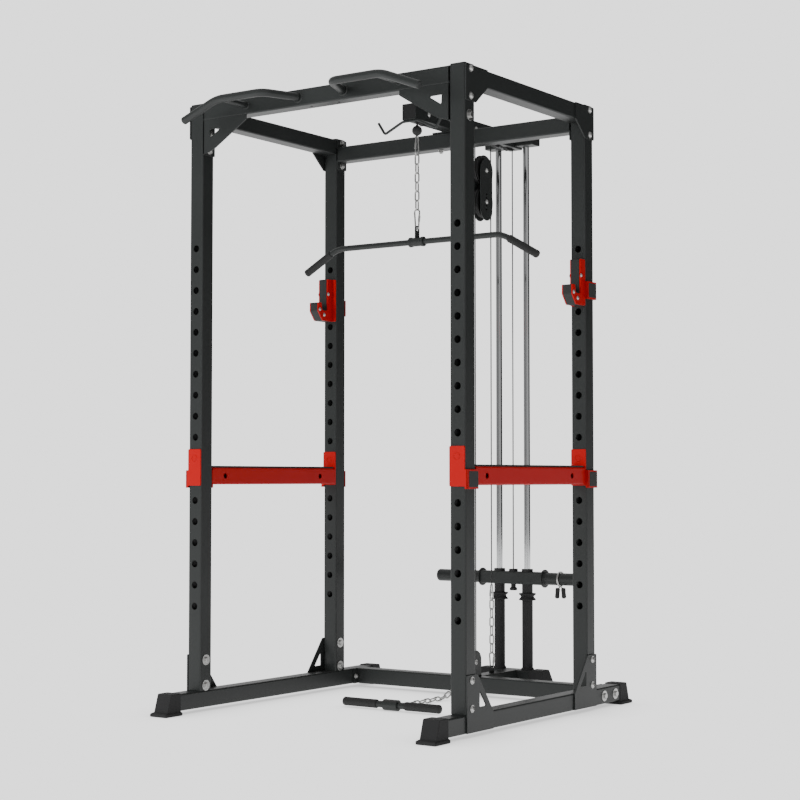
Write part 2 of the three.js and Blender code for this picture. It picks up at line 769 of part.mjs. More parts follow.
function carriageFrame() {
  const side = carriage.tube / 2;
  const end = carriage.halfLength;
  const tube = squareTube('x', -end, end, towerY - side, towerY + side, carriageBottom, carriageTop);
  const top = carriageTop + carriage.above;
  const bushings = [-1, 1].map((way) => {
    const x = way * rods.halfSpacing;
    return strut([x, towerY, bumperTop], [x, towerY, top], carriage.bushing, 12);
  });
  const bores = [-1, 1].map((way) => {
    const x = way * rods.halfSpacing;
    return strut([x, towerY, bumperTop - 1], [x, towerY, top + 1], rods.across + 2 * carriage.ease, 12);
  });
  const eyeProfile = [
    [0, carriageBottom - cableEye.drop],
    [cableEye.foot / 2, carriageBottom - cableEye.drop],
    [cableEye.foot / 2, carriageBottom],
    [cableEye.neck / 2, carriageBottom],
    [cableEye.neck / 2, carriageTop],
    [cableEye.cap / 2, carriageTop],
    [cableEye.cap / 2, carriageTop + cableEye.rise],
    [0, carriageTop + cableEye.rise],
  ];
  const eye = turned(eyeProfile, 'z', 10).translate(0, towerY, 0);
  return cut(join(tube, ...bushings, eye), ...bores);
}

function weightHorn() {
  const start = carriage.halfLength + gap;
  const seat = start + horn.flangeThick;
  const end = seat + horn.length;
  const radius = horn.across / 2;
  const profile = [
    [0, start],
    [horn.flange / 2, start],
    [horn.flange / 2, seat],
    [radius, seat],
    [radius, end - horn.chamfer],
    [radius - horn.chamfer, end],
    [0, end],
  ];
  return turned(profile, 'x', 12).translate(0, towerY, carriageBottom + carriage.tube / 2);
}

// A spring collar: a ring round the horn with two legs that end in grips.
function springCollar() {
  const bore = horn.across / 2 + collar.ease;
  const outerRadius = bore + collar.wire;
  const z = carriageBottom + carriage.tube / 2;
  const coil = turned(ring(bore, outerRadius, -collar.width / 2, collar.width / 2), 'x', 12);
  const parts = [coil.translate(collar.offset, towerY, z)];
  for (const way of [-1, 1]) {
    const x = collar.offset + (way * collar.spread) / 2;
    const gripTop = z - collar.gripTop;
    const lean = way * collar.lean;
    const start = [collar.offset + lean / 2, towerY + lean, z - bore - collar.wire / 2];
    parts.push(strut(start, [x, towerY + lean, gripTop - collar.wire], collar.wire, 6));
    parts.push(strut([x, towerY + lean, gripTop], [x, towerY + lean, gripTop - collar.gripLength], collar.grip, 8));
  }
  return join(...parts);
}

add('carriage', carriageFrame(), paint());
addPair('weight_horn', weightHorn(), paint);
addPair('spring_collar', springCollar(), zinc);
add('carriage_cable', strand(towerY, carriageTop + cableEye.rise + gap, pulleyZ - gap), sheath());

// ---------------------------------------------------------------- chains

// One closed link lying in the (x, z) plane, with its length along z.
function chainLink(size) {
  const outerRadius = size.width / 2;
  const straight = size.length / 2 - outerRadius;
  const innerRadius = outerRadius - size.wire;
  const loop = (target, radius) => {
    target.absarc(0, straight, radius, 0, Math.PI, false);
    target.absarc(0, -straight, radius, Math.PI, Math.PI * 2, false);
    target.closePath();
    return target;
  };
  const shape = loop(new THREE.Shape(), outerRadius);
  shape.holes.push(loop(new THREE.Path(), innerRadius));
  const flat = extruded(shape, size.wire, 2);
  return flat.translate(0, 0, -size.wire / 2).rotateX(Math.PI / 2);
}

// A link with its middle at a point of the plane x = 0, pitched in that plane and rolled about its length.
function placedLink(size, y, z, pitchAngle, roll) {
  return chainLink(size).rotateZ(roll).rotateX(pitchAngle).translate(0, y, z);
}

// A hanging chain: a spring clip, the links and a second clip, all joined where they touch.
function hangingChain(y, top, ends) {
  const parts = [placedLink(ends, y, top - ends.length / 2, 0, Math.PI / 2)];
  let z = top - ends.length + ends.wire / 2 + clipOverlap + link.wire / 2 - link.length / 2;
  for (let i = 0; i < chainLinks; i += 1) {
    parts.push(placedLink(link, y, z, 0, i % 2 === 0 ? 0 : Math.PI / 2));
    z -= link.pitch;
  }
  parts.push(placedLink(ends, y, top - chainReach(ends) + ends.length / 2, 0, 0));
  return join(...parts);
}

const stopBall = new THREE.SphereGeometry(ball.radius, 10, 6).rotateX(Math.PI / 2).translate(0, latY, ball.z);
add('lat_chain', join(hangingChain(latY, latClipTop, clip), stopBall), zinc());
add('anchor_chain', hangingChain(rearStrandY, anchor.top, anchorClip), zinc());
add('lat_drop_cable', strand(latY, ball.z + ball.radius + gap, pulleyZ - gap), sheath());

// ---------------------------------------------------------------- lat bar

function latBarFrame() {
  const bar = bentBar(
    [
      [-latBar.tipX, latY, latBarTipZ],
      [-latBar.bendX, latY, latBar.level],
      [latBar.bendX, latY, latBar.level],
      [latBar.tipX, latY, latBarTipZ],
    ],
    latBar.across,
    latBar.bend,
    8,
    14,
  );
  const side = latLug.collarHalf;
  const sleeveAcross = strut([-side, latY, latBar.level], [side, latY, latBar.level], latLug.collar, 12);
  const tab = box(
    -latLug.thick / 2,
    latLug.thick / 2,
    latY - latLug.width / 2,
    latY + latLug.width / 2,
    latBar.level,
    latHoleZ + latLug.hole / 2 + latLug.edge,
  );
  const bore = strut([-latLug.thick, latY, latHoleZ], [latLug.thick, latY, latHoleZ], latLug.hole, 8);
  const grip = latBarGrip();
  return cut(join(bar, sleeveAcross, tab, grip, mirrored(grip)), bore);
}

// The grip over one sloping end of the bar.
function latBarGrip() {
  const from = new THREE.Vector3(latBar.bendX, latY, latBar.level);
  const tip = new THREE.Vector3(latBar.tipX, latY, latBarTipZ);
  const way = tip.clone().sub(from).normalize();
  const start = from.clone().addScaledVector(way, latGrip.start);
  const end = tip.clone().addScaledVector(way, latGrip.past);
  return strut(start.toArray(), end.toArray(), latGrip.across, 12);
}

add('lat_bar', latBarFrame(), paint());

// ---------------------------------------------------------------- low bar and its chain

const lowBarZ = lowBar.collar / 2;

function lowBarFrame() {
  const { y } = lowBar;
  const rod = (x0, x1, across) => strut([x0, y, lowBarZ], [x1, y, lowBarZ], across, 12);
  const grips = [-1, 1].map((side) => rod(side * lowBar.gripStart, side * lowBar.halfLength, lowBar.grip));
  const middle = rod(-lowBar.collarHalf, lowBar.collarHalf, lowBar.collar);
  const tab = box(
    -lowLug.thick / 2,
    lowLug.thick / 2,
    y,
    y + lowLug.reach,
    lowBarZ - lowLug.height / 2,
    lowBarZ + lowLug.height / 2,
  );
  const holeY = y + lowLug.reach - lowLug.hole / 2 - lowLug.edge;
  const bore = strut([-lowLug.thick, holeY, lowBarZ], [lowLug.thick, holeY, lowBarZ], lowLug.hole, 8);
  return cut(join(rod(-lowBar.gripStart - 1, lowBar.gripStart + 1, lowBar.across), middle, tab, ...grips), bore);
}

// The chain lies on the floor from the low bar and rises to the stop at the low pulley.
function lowChain() {
  const stopY = lowStopRear() - lowStop.length;
  const stopZ = lowPulley.z - pulley.turn;
  const stop = strut([0, stopY, stopZ], [0, lowStopRear(), stopZ], lowStop.radius * 2, 12);
  const along = (from, length, angle) => [
    from[0] - length * Math.cos(angle),
    from[1] - length * Math.sin(angle),
  ];
  const parts = [stop];
  const { clipSlope } = lowRun;
  const clipEnd = [stopY + clipOverlap, stopZ - lowRun.clipDrop];
  const clipMiddle = along(clipEnd, clip.length / 2, clipSlope);
  parts.push(placedLink(clip, ...clipMiddle, -Math.PI / 2 + clipSlope, Math.PI / 4));
  const linkPastJoint = (link.length - link.pitch) / 2;
  const firstReach = clip.length - clip.wire / 2 - clipOverlap - link.wire / 2 + linkPastJoint;
  let joint = along(clipEnd, firstReach, clipSlope);
  const floorLevel = link.width / 2;
  const lugEnd = lowBar.y + lowLug.reach;
  const run = joint[0] - lugEnd;
  const count = Math.floor(run / link.pitch);
  for (let i = 0; i < count; i += 1) {
    const drop = Math.max(0, joint[1] - floorLevel);
    const angle = Math.asin(Math.min(lowRun.steepest, drop / link.pitch));
    const middle = along(joint, link.pitch / 2, angle);
    parts.push(placedLink(link, ...middle, -Math.PI / 2 + angle, Math.PI / 4 + ((i + 1) % 2) * (Math.PI / 2)));
    joint = along(joint, link.pitch, angle);
  }
  return join(...parts);
}

add('low_bar', lowBarFrame(), paint());
add('low_chain', lowChain(), zinc());

// ---------------------------------------------------------------- hooks and safety bars

// The bracket round one upright: a front plate, a tab down its outside and a lip behind it.
// front is the depth of the upright's front face and z the height of the pin's centre.
function wrapBracket(front, z, plateTop, plateBottom) {
  const x0 = inner;
  const tabX = outer + wrap.standOff;
  const tabEnd = tabX + plate;
  const y0 = front - gap - plate;
  const y1 = front + cage.tube + gap;
  const top = z + wrap.tabTop;
  const bottom = z + wrap.tabBottom;
  return [
    box(x0, outer, y0, y0 + plate, z + plateBottom, z + plateTop),
    box(x0, tabEnd, y0, y0 + plate, bottom, top),
    box(tabX, tabEnd, y0, y1 + plate, bottom, top),
    box(x0, tabEnd, y1, y1 + plate, bottom, top),
    strut([cage.halfWidth, y0 + 1, z], [cage.halfWidth, y1 - wall, z], wrap.pin, 12),
  ];
}

const jHookZ = holes.top - jHook.hole * holes.pitch;
const safetyZ = holes.top - safety.hole * holes.pitch;
const hookFace = cage.depth - gap - plate;

function jOutline(proud) {
  const back = hookFace + 0.5;
  const throat = hookFace - jHook.back - proud;
  const lipIn = throat - jHook.cradle + 2 * proud;
  const lipOut = lipIn - jHook.lip - proud;
  const bottom = jHook.cradleBottom + proud;
  return [
    [back, jHook.above],
    [throat + jHook.brow, jHook.above],
    [throat, jHook.above - jHook.brow],
    [throat, bottom + jHook.fillet],
    [throat - jHook.fillet, bottom],
    [lipIn + jHook.fillet, bottom],
    [lipIn, bottom + jHook.fillet],
    [lipIn, jHook.lipTop],
    [lipOut, jHook.lipTop],
    [lipOut, -jHook.below + jHook.toeRise],
    [lipOut + jHook.toeBack, -jHook.below],
    [back, -jHook.below],
  ].map(([y, z]) => [y, z + jHookZ]);
}

function jHookFrame() {
  const cheekOutline = jOutline(0);
  return join(
    ...wrapBracket(cage.depth, jHookZ, jHook.above, -jHook.below),
    sideways(cheekOutline, outer - jHook.width, outer - jHook.width + plate),
    sideways(cheekOutline, outer - plate, outer),
  );
}

function jHookLiner() {
  const shape = jOutline(jHook.linerProud).map(([y, z]) => [Math.min(y, hookFace - gap), z]);
  return sideways(shape, outer - jHook.width + plate + gap, outer - plate - gap);
}

// The bar, with a bracket and a pin at each end.
function safetyBar() {
  const y0 = cage.tube + gap + plate - 1;
  const y1 = hookFace + 1;
  const top = safetyZ + safety.barTop;
  const bottom = safetyZ + safety.barBottom;
  const bar = box(inner, outer, y0, y1, bottom, top);
  const hollow = box(inner + wall, outer - wall, y0 + plate, y1 - plate, bottom + wall, top - wall);
  const middle = (top + bottom) / 2;
  const vents = [y0 + safety.ventFront, y1 - safety.ventRear].map((y) =>
    strut([inner - 1, y, middle], [outer + 1, y, middle], safety.vent, 8),
  );
  const brackets = [0, cage.depth].flatMap((y) => wrapBracket(y, safetyZ, safety.above, -safety.below));
  return cut(join(bar, ...brackets), hollow, ...vents);
}

function safetyStrip() {
  const side = safety.stripWidth / 2;
  const low = safetyZ + safety.barTop + gap;
  const y0 = cage.tube + gap + plate + safety.stripEase;
  const y1 = hookFace - safety.stripEase;
  return box(cage.halfWidth - side, cage.halfWidth + side, y0, y1, low, low + safety.strip);
}

addPair('j_hook', jHookFrame(), redPaint);
addPair('j_hook_liner', jHookLiner(), plastic);
addPair('safety_bar', safetyBar(), redPaint);
addPair('safety_strip', safetyStrip(), plastic);

export default powerCage;
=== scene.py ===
import math

import bmesh
import bpy
from mathutils import Matrix, Vector


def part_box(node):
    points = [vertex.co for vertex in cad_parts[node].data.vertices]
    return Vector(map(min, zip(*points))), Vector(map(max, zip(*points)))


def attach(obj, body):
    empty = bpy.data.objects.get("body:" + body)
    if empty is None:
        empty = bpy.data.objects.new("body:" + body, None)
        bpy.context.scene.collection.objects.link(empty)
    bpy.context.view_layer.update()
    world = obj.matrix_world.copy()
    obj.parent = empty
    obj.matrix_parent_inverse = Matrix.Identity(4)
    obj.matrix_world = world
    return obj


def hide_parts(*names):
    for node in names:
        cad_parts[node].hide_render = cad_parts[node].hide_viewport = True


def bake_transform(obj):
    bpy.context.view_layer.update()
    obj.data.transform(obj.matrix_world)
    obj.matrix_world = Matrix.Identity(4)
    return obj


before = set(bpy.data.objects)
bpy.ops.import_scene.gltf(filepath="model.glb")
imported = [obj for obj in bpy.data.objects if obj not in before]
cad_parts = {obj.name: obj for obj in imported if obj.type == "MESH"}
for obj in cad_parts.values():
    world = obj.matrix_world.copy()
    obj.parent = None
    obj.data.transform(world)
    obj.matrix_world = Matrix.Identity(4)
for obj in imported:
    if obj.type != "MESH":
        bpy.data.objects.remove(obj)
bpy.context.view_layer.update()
print("frame loaded")

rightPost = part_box("front_right_upright")
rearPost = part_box("rear_right_upright")
frontFace = rightPost[0].y
tube = rightPost[1].x - rightPost[0].x
wall = 0.003
inner = rightPost[0].x
outer = rightPost[1].x
cageDepth = rearPost[0].y - frontFace
postX = (inner + outer) / 2
postTop = rightPost[1].z
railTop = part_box("right_top_rail")[1].z
baseTop = rightPost[0].z
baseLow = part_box("lower_crossmember")[0].z
right = Vector((1, 0, 0))
rearward = Vector((0, 1, 0))
up = Vector((0, 0, 1))


# A depth behind the front faces of the front uprights, as a row y.
def back(depth):
    return frontFace + depth


# node trees


# One output in a shader or geometry tree, so that a tree reads as a formula.
class Sock:
    def __init__(self, tree, out):
        self.tree = tree
        self.out = out

    def node(self, kind, inputs=None, output=0, **settings):
        made = self.tree.nodes.new(kind)
        for name, value in settings.items():
            setattr(made, name, value)
        for key, value in (inputs or {}).items():
            feed(self.tree, made.inputs[key], value)
        return Sock(self.tree, made.outputs[output])

    def maths(self, operation, first, second):
        return self.node("ShaderNodeMath", {0: first, 1: second}, operation=operation)

    def __add__(self, other):
        return self.maths("ADD", self, other)

    __radd__ = __add__

    def __mul__(self, other):
        return self.maths("MULTIPLY", self, other)

    __rmul__ = __mul__

    def __sub__(self, other):
        return self.maths("SUBTRACT", self, other)

    def __rsub__(self, other):
        return self.maths("SUBTRACT", other, self)

    def __truediv__(self, other):
        return self.maths("DIVIDE", self, other)

    def __rtruediv__(self, other):
        return self.maths("DIVIDE", other, self)

    def __mod__(self, other):
        return self.maths("MODULO", self, other)


def feed(tree, socket, value):
    if isinstance(value, Sock):
        tree.links.new(value.out, socket)
    else:
        socket.default_value = value


def blank(name):
    material = bpy.data.materials.new(name)
    material.use_nodes = True
    shader = material.node_tree.nodes["Principled BSDF"]
    place = material.node_tree.nodes.new("ShaderNodeTexCoord")
    return material, shader, Sock(material.node_tree, place.outputs["Object"])


def noise(place, scale, detail=2.0, stretch=(1, 1, 1)):
    scaled = place.node("ShaderNodeMapping", {"Vector": place, "Scale": stretch})
    return place.node("ShaderNodeTexNoise", {"Vector": scaled, "Scale": scale, "Detail": detail}, "Fac")


def tinted(place, amount, dark, light):
    return place.node("ShaderNodeMix", {0: amount, 6: (*dark, 1), 7: (*light, 1)}, 2, data_type="RGBA")


def bumped(place, height, strength, distance):
    return place.node("ShaderNodeBump", {"Height": height, "Strength": strength, "Distance": distance})


# A finish whose colour and roughness drift between two values, with a fine relief.
def finish(name, look):
    material, shader, place = blank(name)
    tree = material.node_tree
    drift = noise(place, look["driftScale"], 3.0)
    grain = noise(place, look["grainScale"], 2.0, look.get("stretch", (1, 1, 1)))
    feed(
        tree, shader.inputs["Base Color"],
        tinted(place, drift * 0.6 + grain * 0.4, look["dark"], look["light"])
    )
    feed(
        tree, shader.inputs["Roughness"],
        drift * look["roughDrift"] + grain * look["roughGrain"] + look["rough"]
    )
    feed(tree, shader.inputs["Normal"], bumped(place, grain, look["relief"], look["depth"]))
    shader.inputs["Metallic"].default_value = look.get("metallic", 0.0)
    shader.inputs["Specular IOR Level"].default_value = look.get("specular", 0.5)
    shader.inputs["Coat Weight"].default_value = look.get("coat", 0.0)
    shader.inputs["Coat Roughness"].default_value = 0.25
    return material


looks = {
    "framePaint": {
        "dark": (0.0150, 0.0168, 0.0164),
        "light": (0.0215, 0.0238, 0.0232),
        "driftScale": 5.0,
        "grainScale": 1400.0,
        "specular": 0.42,
        "rough": 0.31,
        "roughDrift": 0.07,
        "roughGrain": 0.1,
        "relief": 0.22,
        "depth": 0.0002,
    },
    "redPaint": {
        "specular": 0.28,
        "dark": (0.36, 0.0, 0.0004),
        "light": (0.43, 0.0, 0.0005),
        "driftScale": 12.0,
        "grainScale": 1400.0,
        "rough": 0.36,
        "roughDrift": 0.06,
        "roughGrain": 0.1,
        "relief": 0.2,
        "depth": 0.0002,
    },
    "footRubber": {
        "dark": (0.014, 0.014, 0.0145),
        "light": (0.022, 0.022, 0.0225),
        "driftScale": 30.0,
        "grainScale": 900.0,
        "rough": 0.56,
        "roughDrift": 0.12,
        "roughGrain": 0.12,
        "relief": 0.35,
        "depth": 0.0003,
        "specular": 0.35,
    },
    "gripRubber": {
        "dark": (0.012, 0.0125, 0.0125),
        "light": (0.021, 0.021, 0.021),
        "driftScale": 40.0,
        "grainScale": 700.0,
        "rough": 0.5,
        "roughDrift": 0.1,
        "roughGrain": 0.14,
        "relief": 0.5,
        "depth": 0.0004,
        "specular": 0.4,
    },
    "nylon": {
        "dark": (0.007, 0.007, 0.0075),
        "light": (0.012, 0.012, 0.012),
        "driftScale": 25.0,
        "grainScale": 1100.0,
        "rough": 0.42,
        "roughDrift": 0.1,
        "roughGrain": 0.1,
        "relief": 0.15,
        "depth": 0.0002,
    },
    "guard": {
        "dark": (0.0175, 0.0185, 0.018),
        "light": (0.026, 0.027, 0.0265),
        "driftScale": 20.0,
        "grainScale": 800.0,
        "rough": 0.5,
        "roughDrift": 0.1,
        "roughGrain": 0.12,
        "relief": 0.3,
        "depth": 0.0003,
        "specular": 0.4,
    },
    "zinc": {
        "dark": (0.44, 0.44, 0.43),
        "light": (0.66, 0.66, 0.65),
        "driftScale": 60.0,
        "grainScale": 900.0,
        "rough": 0.2,
        "roughDrift": 0.12,
        "roughGrain": 0.12,
        "relief": 0.2,
        "depth": 0.0002,
        "metallic": 1.0,
    },
    "chrome": {
        "dark": (0.62, 0.63, 0.64),
        "light": (0.75, 0.755, 0.76),
        "driftScale": 8.0,
        "grainScale": 400.0,
        "stretch": (1, 1, 0.02),
        "rough": 0.05,
        "roughDrift": 0.03,
        "roughGrain": 0.05,
        "relief": 0.05,
        "depth": 0.0001,
        "metallic": 1.0,
    },
}
paint, redPaint, rubber, gripRubber, nylon, guard, zinc, chrome = (
    finish(name, look) for name, look in looks.items()
)


# The cable's sheath: glossy plastic over strands that show through as a slight twist.
def sheathMaterial():
    material, shader, place = blank("sheath")
    twist = place.node(
        "ShaderNodeTexWave", {"Vector": place, "Scale": 90.0, "Distortion": 1.5}, "Fac",
        wave_type="BANDS", bands_direction="DIAGONAL"
    )
    grain = noise(place, 500.0)
    feed(
        material.node_tree, shader.inputs["Base Color"],
        tinted(place, twist, (0.008, 0.008, 0.008), (0.017, 0.017, 0.017))
    )
    feed(material.node_tree, shader.inputs["Roughness"], grain * 0.15 + 0.26)
    feed(material.node_tree, shader.inputs["Normal"], bumped(place, twist, 0.3, 0.0003))
    return material


sheath = sheathMaterial()
print("materials made")

# mesh tools

places = {
    "x": Matrix(((0, 0, 1, 0), (1, 0, 0, 0), (0, 1, 0, 0), (0, 0, 0, 1))),
    "y": Matrix(((1, 0, 0, 0), (0, 0, 1, 0), (0, 1, 0, 0), (0, 0, 0, 1))),
    "z": Matrix.Identity(4),
}


def circle(a, b, radius, steps=32):
    turns = [2 * math.pi * i / steps for i in range(steps)]
    return [(a + radius * math.cos(t), b + radius * math.sin(t)) for t in turns]


# A closed outline with each corner rounded. A corner given as (a, b, radius) has its own radius.
def rounded(corners, radius, steps=5):
    points = []
    for i, corner in enumerate(corners):
        here = Vector(corner[:2])
        before = Vector(corners[i - 1][:2]) - here
        after = Vector(corners[(i + 1) % len(corners)][:2]) - here
        own = corner[2] if len(corner) > 2 else radius
        angle = before.angle(after)
        reach = min(own / math.tan(angle / 2), before.length * 0.48, after.length * 0.48)
        start = here + before.normalized() * reach
        end = here + after.normalized() * reach
        for k in range(steps + 1):
            t = k / steps
            points.append(tuple((1 - t) ** 2 * start + 2 * t * (1 - t) * here + t ** 2 * end))
    return points


def rectangle(a0, a1, b0, b1, radius=0.003, steps=5):
    return rounded([(a0, b0), (a1, b0), (a1, b1), (a0, b1)], radius, steps)


def meshOf(verts, faces):
    mesh = bpy.data.meshes.new("part")
    mesh.from_pydata([tuple(v) for v in verts], [], faces)
    return mesh


# Joins points that coincide and turns every face outwards.
def welded(mesh):
    edit = bmesh.new()
    edit.from_mesh(mesh)
    bmesh.ops.remove_doubles(edit, verts=edit.verts, dist=2e-6)
    bmesh.ops.dissolve_degenerate(edit, edges=edit.edges, dist=1e-6)
    bmesh.ops.recalc_face_normals(edit, faces=edit.faces)
    edit.to_mesh(mesh)
    edit.free()
    return mesh


# A flat shape with holes, given as closed loops, made thick from one level to another along an axis.
def slab(loops, low, high, axis="z", edge=0.0006):
    curve = bpy.data.curves.new("slab", "CURVE")
    curve.dimensions = "2D"
    curve.fill_mode = "BOTH"
    curve.extrude = abs(high - low) / 2 - edge
    curve.bevel_depth = edge
    curve.bevel_resolution = 1
    curve.offset = -edge
    for loop in loops:
        spline = curve.splines.new("POLY")
        spline.points.add(len(loop) - 1)
        for point, (a, b) in zip(spline.points, loop):
            point.co = (a, b, 0, 1)
        spline.use_cyclic_u = True
    shape = bpy.data.objects.new("slab", curve)
    bpy.context.scene.collection.objects.link(shape)
    mesh = bpy.data.meshes.new_from_object(shape.evaluated_get(bpy.context.evaluated_depsgraph_get()))
    bpy.data.objects.remove(shape)
    mesh.transform(places[axis] @ Matrix.Translation((0, 0, (low + high) / 2)))
    return welded(mesh)


# A square tube, open at its ends, with rounded edges. The sides are the two spans across its axis.
def squareTube(axis, sideA, sideB, low, high, corner=0.006):
    outside = rectangle(*sideA, *sideB, corner)
    inside = rectangle(
        sideA[0] + wall, sideA[1] - wall, sideB[0] + wall, sideB[1] - wall, corner - wall + 0.0005
    )
    return slab([outside, inside], low, high, axis)


def frameAt(start, way):
    turn = up.rotation_difference(Vector(way)).to_matrix().to_4x4()
    return Matrix.Translation(start) @ turn


# A profile of (radius, height) points turned about a line that starts at a point.
def lathe(profile, start, way=up, steps=40):
    verts = []
    faces = []
    for radius, height in profile:
        verts += [(x, y, height) for x, y in circle(0, 0, max(radius, 1e-5), steps)]
    for i in range(len(profile) - 1):
        for k in range(steps):
            n = (k + 1) % steps
            faces.append((i * steps + k, i * steps + n, (i + 1) * steps + n, (i + 1) * steps + k))
    mesh = meshOf(verts, faces)
    mesh.transform(frameAt(start, way))
    return mesh


# A solid turned profile that ends on its own axis at both ends.
def rod(radius, start, end, soften=0.001, steps=32):
    line = Vector(end) - Vector(start)
    long = line.length
    profile = [
        (0, 0), (radius - soften, 0), (radius, soften), (radius, long - soften), (radius - soften, long),
        (0, long)
    ]
    return lathe(profile, start, line, steps)


# The points of a path of straight runs, with a rounded bend at each inner corner.
def bentPath(corners, bend, steps=8):
    corners = [Vector(corner) for corner in corners]
    points = [corners[0]]
    for before, here, after in zip(corners, corners[1:], corners[2:]):
        start = here + (before - here).normalized() * bend
        end = here + (after - here).normalized() * bend
        for k in range(steps + 1):
            t = k / steps
            points.append((1 - t) ** 2 * start + 2 * t * (1 - t) * here + t ** 2 * end)
    return points + [corners[-1]]


# A round bar along a path. Its radius can change from point to point, and a closed path has no ends.
def sweep(points, radii, sides=20, closed=False):
    points = [Vector(p) for p in points]
    if isinstance(radii, (int, float)):
        radii = [radii] * len(points)
    count = len(points)
    verts = []
    side = None
    for i, point in enumerate(points):
        before = points[i - 1] if i or closed else point
        after = points[(i + 1) % count] if i < count - 1 or closed else point
        way = (after - before).normalized()
        side = (way.orthogonal() if side is None else side - way * side.dot(way)).normalized()
        across = way.cross(side)
        verts += [point + side * a + across * b for a, b in circle(0, 0, radii[i], sides)]
    faces = []
    for i in range(count if closed else count - 1):
        for k in range(sides):
            n = (k + 1) % sides
            j = (i + 1) % count
            faces.append((i * sides + k, i * sides + n, j * sides + n, j * sides + k))
    if not closed:
        faces.append(tuple(range(sides))[::-1])
        faces.append(tuple(range((count - 1) * sides, count * sides)))
    return meshOf(verts, faces)


# Radii and extra points that round off both ends of a bar.
def roundEnded(points, radius, soften, steps=5):
    points = [Vector(p) for p in points]
    first = (points[0] - points[1]).normalized()
    last = (points[-1] - points[-2]).normalized()
    arc = [math.pi / 2 * k / steps for k in range(1, steps + 1)]
    head = [
        (
            points[0] - first * soften * (1 - math.sin(t)), radius - soften * (1 - math.cos(t))
        ) for t in reversed(arc)
    ]
    tail = [
        (points[-1] - last * soften * (1 - math.sin(t)), radius - soften * (1 - math.cos(t))) for t in arc
    ]
    start = (points[0] - first * soften, radius)
    end = (points[-1] - last * soften, radius)
    allOf = head + [start] + [(p, radius) for p in points[1:-1]] + [end] + tail
    return [p for p, _ in allOf], [r for _, r in allOf]


# Rings of points, all of one length, joined by faces and closed at both ends.
def loft(rings):
    count = len(rings[0])
    verts = [point for ring in rings for point in ring]
    faces = [tuple(range(count))[::-1], tuple(range((len(rings) - 1) * count, len(rings) * count))]
    for i in range(len(rings) - 1):
        for k in range(count):
            n = (k + 1) % count
            faces.append((i * count + k, i * count + n, (i + 1) * count + n, (i + 1) * count + k))
    return meshOf(verts, faces)


def joined(name, meshes):
    whole = bmesh.new()
    for mesh in meshes:
        whole.from_mesh(mesh)
    made = bpy.data.meshes.new(name)
    whole.to_mesh(made)
    whole.free()
    return made


# The meshes as one object in one material. A mirrored one is its image across the plane x = 0.
def shown(name, meshes, material, mirror=False, sharp=32):
    parts = [mesh.copy() for mesh in meshes]
    for part in parts:
        if mirror:
            part.transform(Matrix.Scale(-1, 4, right))
        welded(part)
    made = joined(name, parts)
    made.materials.clear()
    made.materials.append(material)
    for polygon in made.polygons:
        polygon.material_index = 0
        polygon.use_smooth = True
    made.set_sharp_from_angle(angle=math.radians(sharp))
    shape = bpy.data.objects.new(name, made)
    bpy.context.scene.collection.objects.link(shape)
    weigh = shape.modifiers.new("weigh", "WEIGHTED_NORMAL")
    weigh.keep_sharp = True
    shape.data = bpy.data.meshes.new_from_object(
        shape.evaluated_get(bpy.context.evaluated_depsgraph_get())
    )
    shape.data.name = name
    shape.modifiers.clear()
    return shape


# A shown object that rides on a body.
def piece(name, meshes, material, body, nodes=(), mirror=False, sharp=32):
    shape = shown(name, meshes, material, mirror, sharp)
    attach(shape, body)
    if nodes:
        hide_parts(*nodes)
    return shape


# A right-hand piece and its mirror image. The body and the node are named with {side}.
def bothSides(name, meshes, material, body, node=None, sharp=32):
    for side in ("right", "left"):
        nodes = [node.format(side=side)] if node else []
        piece(
            f"{side}_{name}", meshes, material, body.format(side=side), nodes, side == "left", sharp
        )


def newTree(name, inputs):
    tree = bpy.data.node_groups.new(name, "GeometryNodeTree")
    tree.interface.new_socket("Geometry", in_out="INPUT", socket_type="NodeSocketGeometry")
    for label, kind in inputs:
        tree.interface.new_socket(label, in_out="INPUT", socket_type=f"NodeSocket{kind}")
    tree.interface.new_socket("Geometry", in_out="OUTPUT", socket_type="NodeSocketGeometry")
    entry = tree.nodes.new("NodeGroupInput")
    return tree, {out.name: Sock(tree, out) for out in entry.outputs if out.name}


def closeTree(tree, shape, material):
    solid = shape.node("GeometryNodeRealizeInstances", {"Geometry": shape})
    painted = shape.node("GeometryNodeSetMaterial", {"Geometry": solid, "Material": material})
    leave = tree.nodes.new("NodeGroupOutput")
    tree.links.new(painted.out, leave.inputs[0])


# The mesh that a tree makes from a starting mesh or curve and named values.
def grown(data, tree, values):
    carrier = bpy.data.objects.new("carrier", data)
    bpy.context.scene.collection.objects.link(carrier)
    modifier = carrier.modifiers.new("grow", "NODES")
    modifier.node_group = tree
    for item in tree.interface.items_tree:
        if item.in_out == "INPUT" and item.name in values:
            modifier[item.identifier] = values[item.name]
    carrier.update_tag()
    bpy.context.view_layer.update()
    mesh = bpy.data.meshes.new_from_object(carrier.evaluated_get(bpy.context.evaluated_depsgraph_get()))
    bpy.data.objects.remove(carrier)
    return mesh


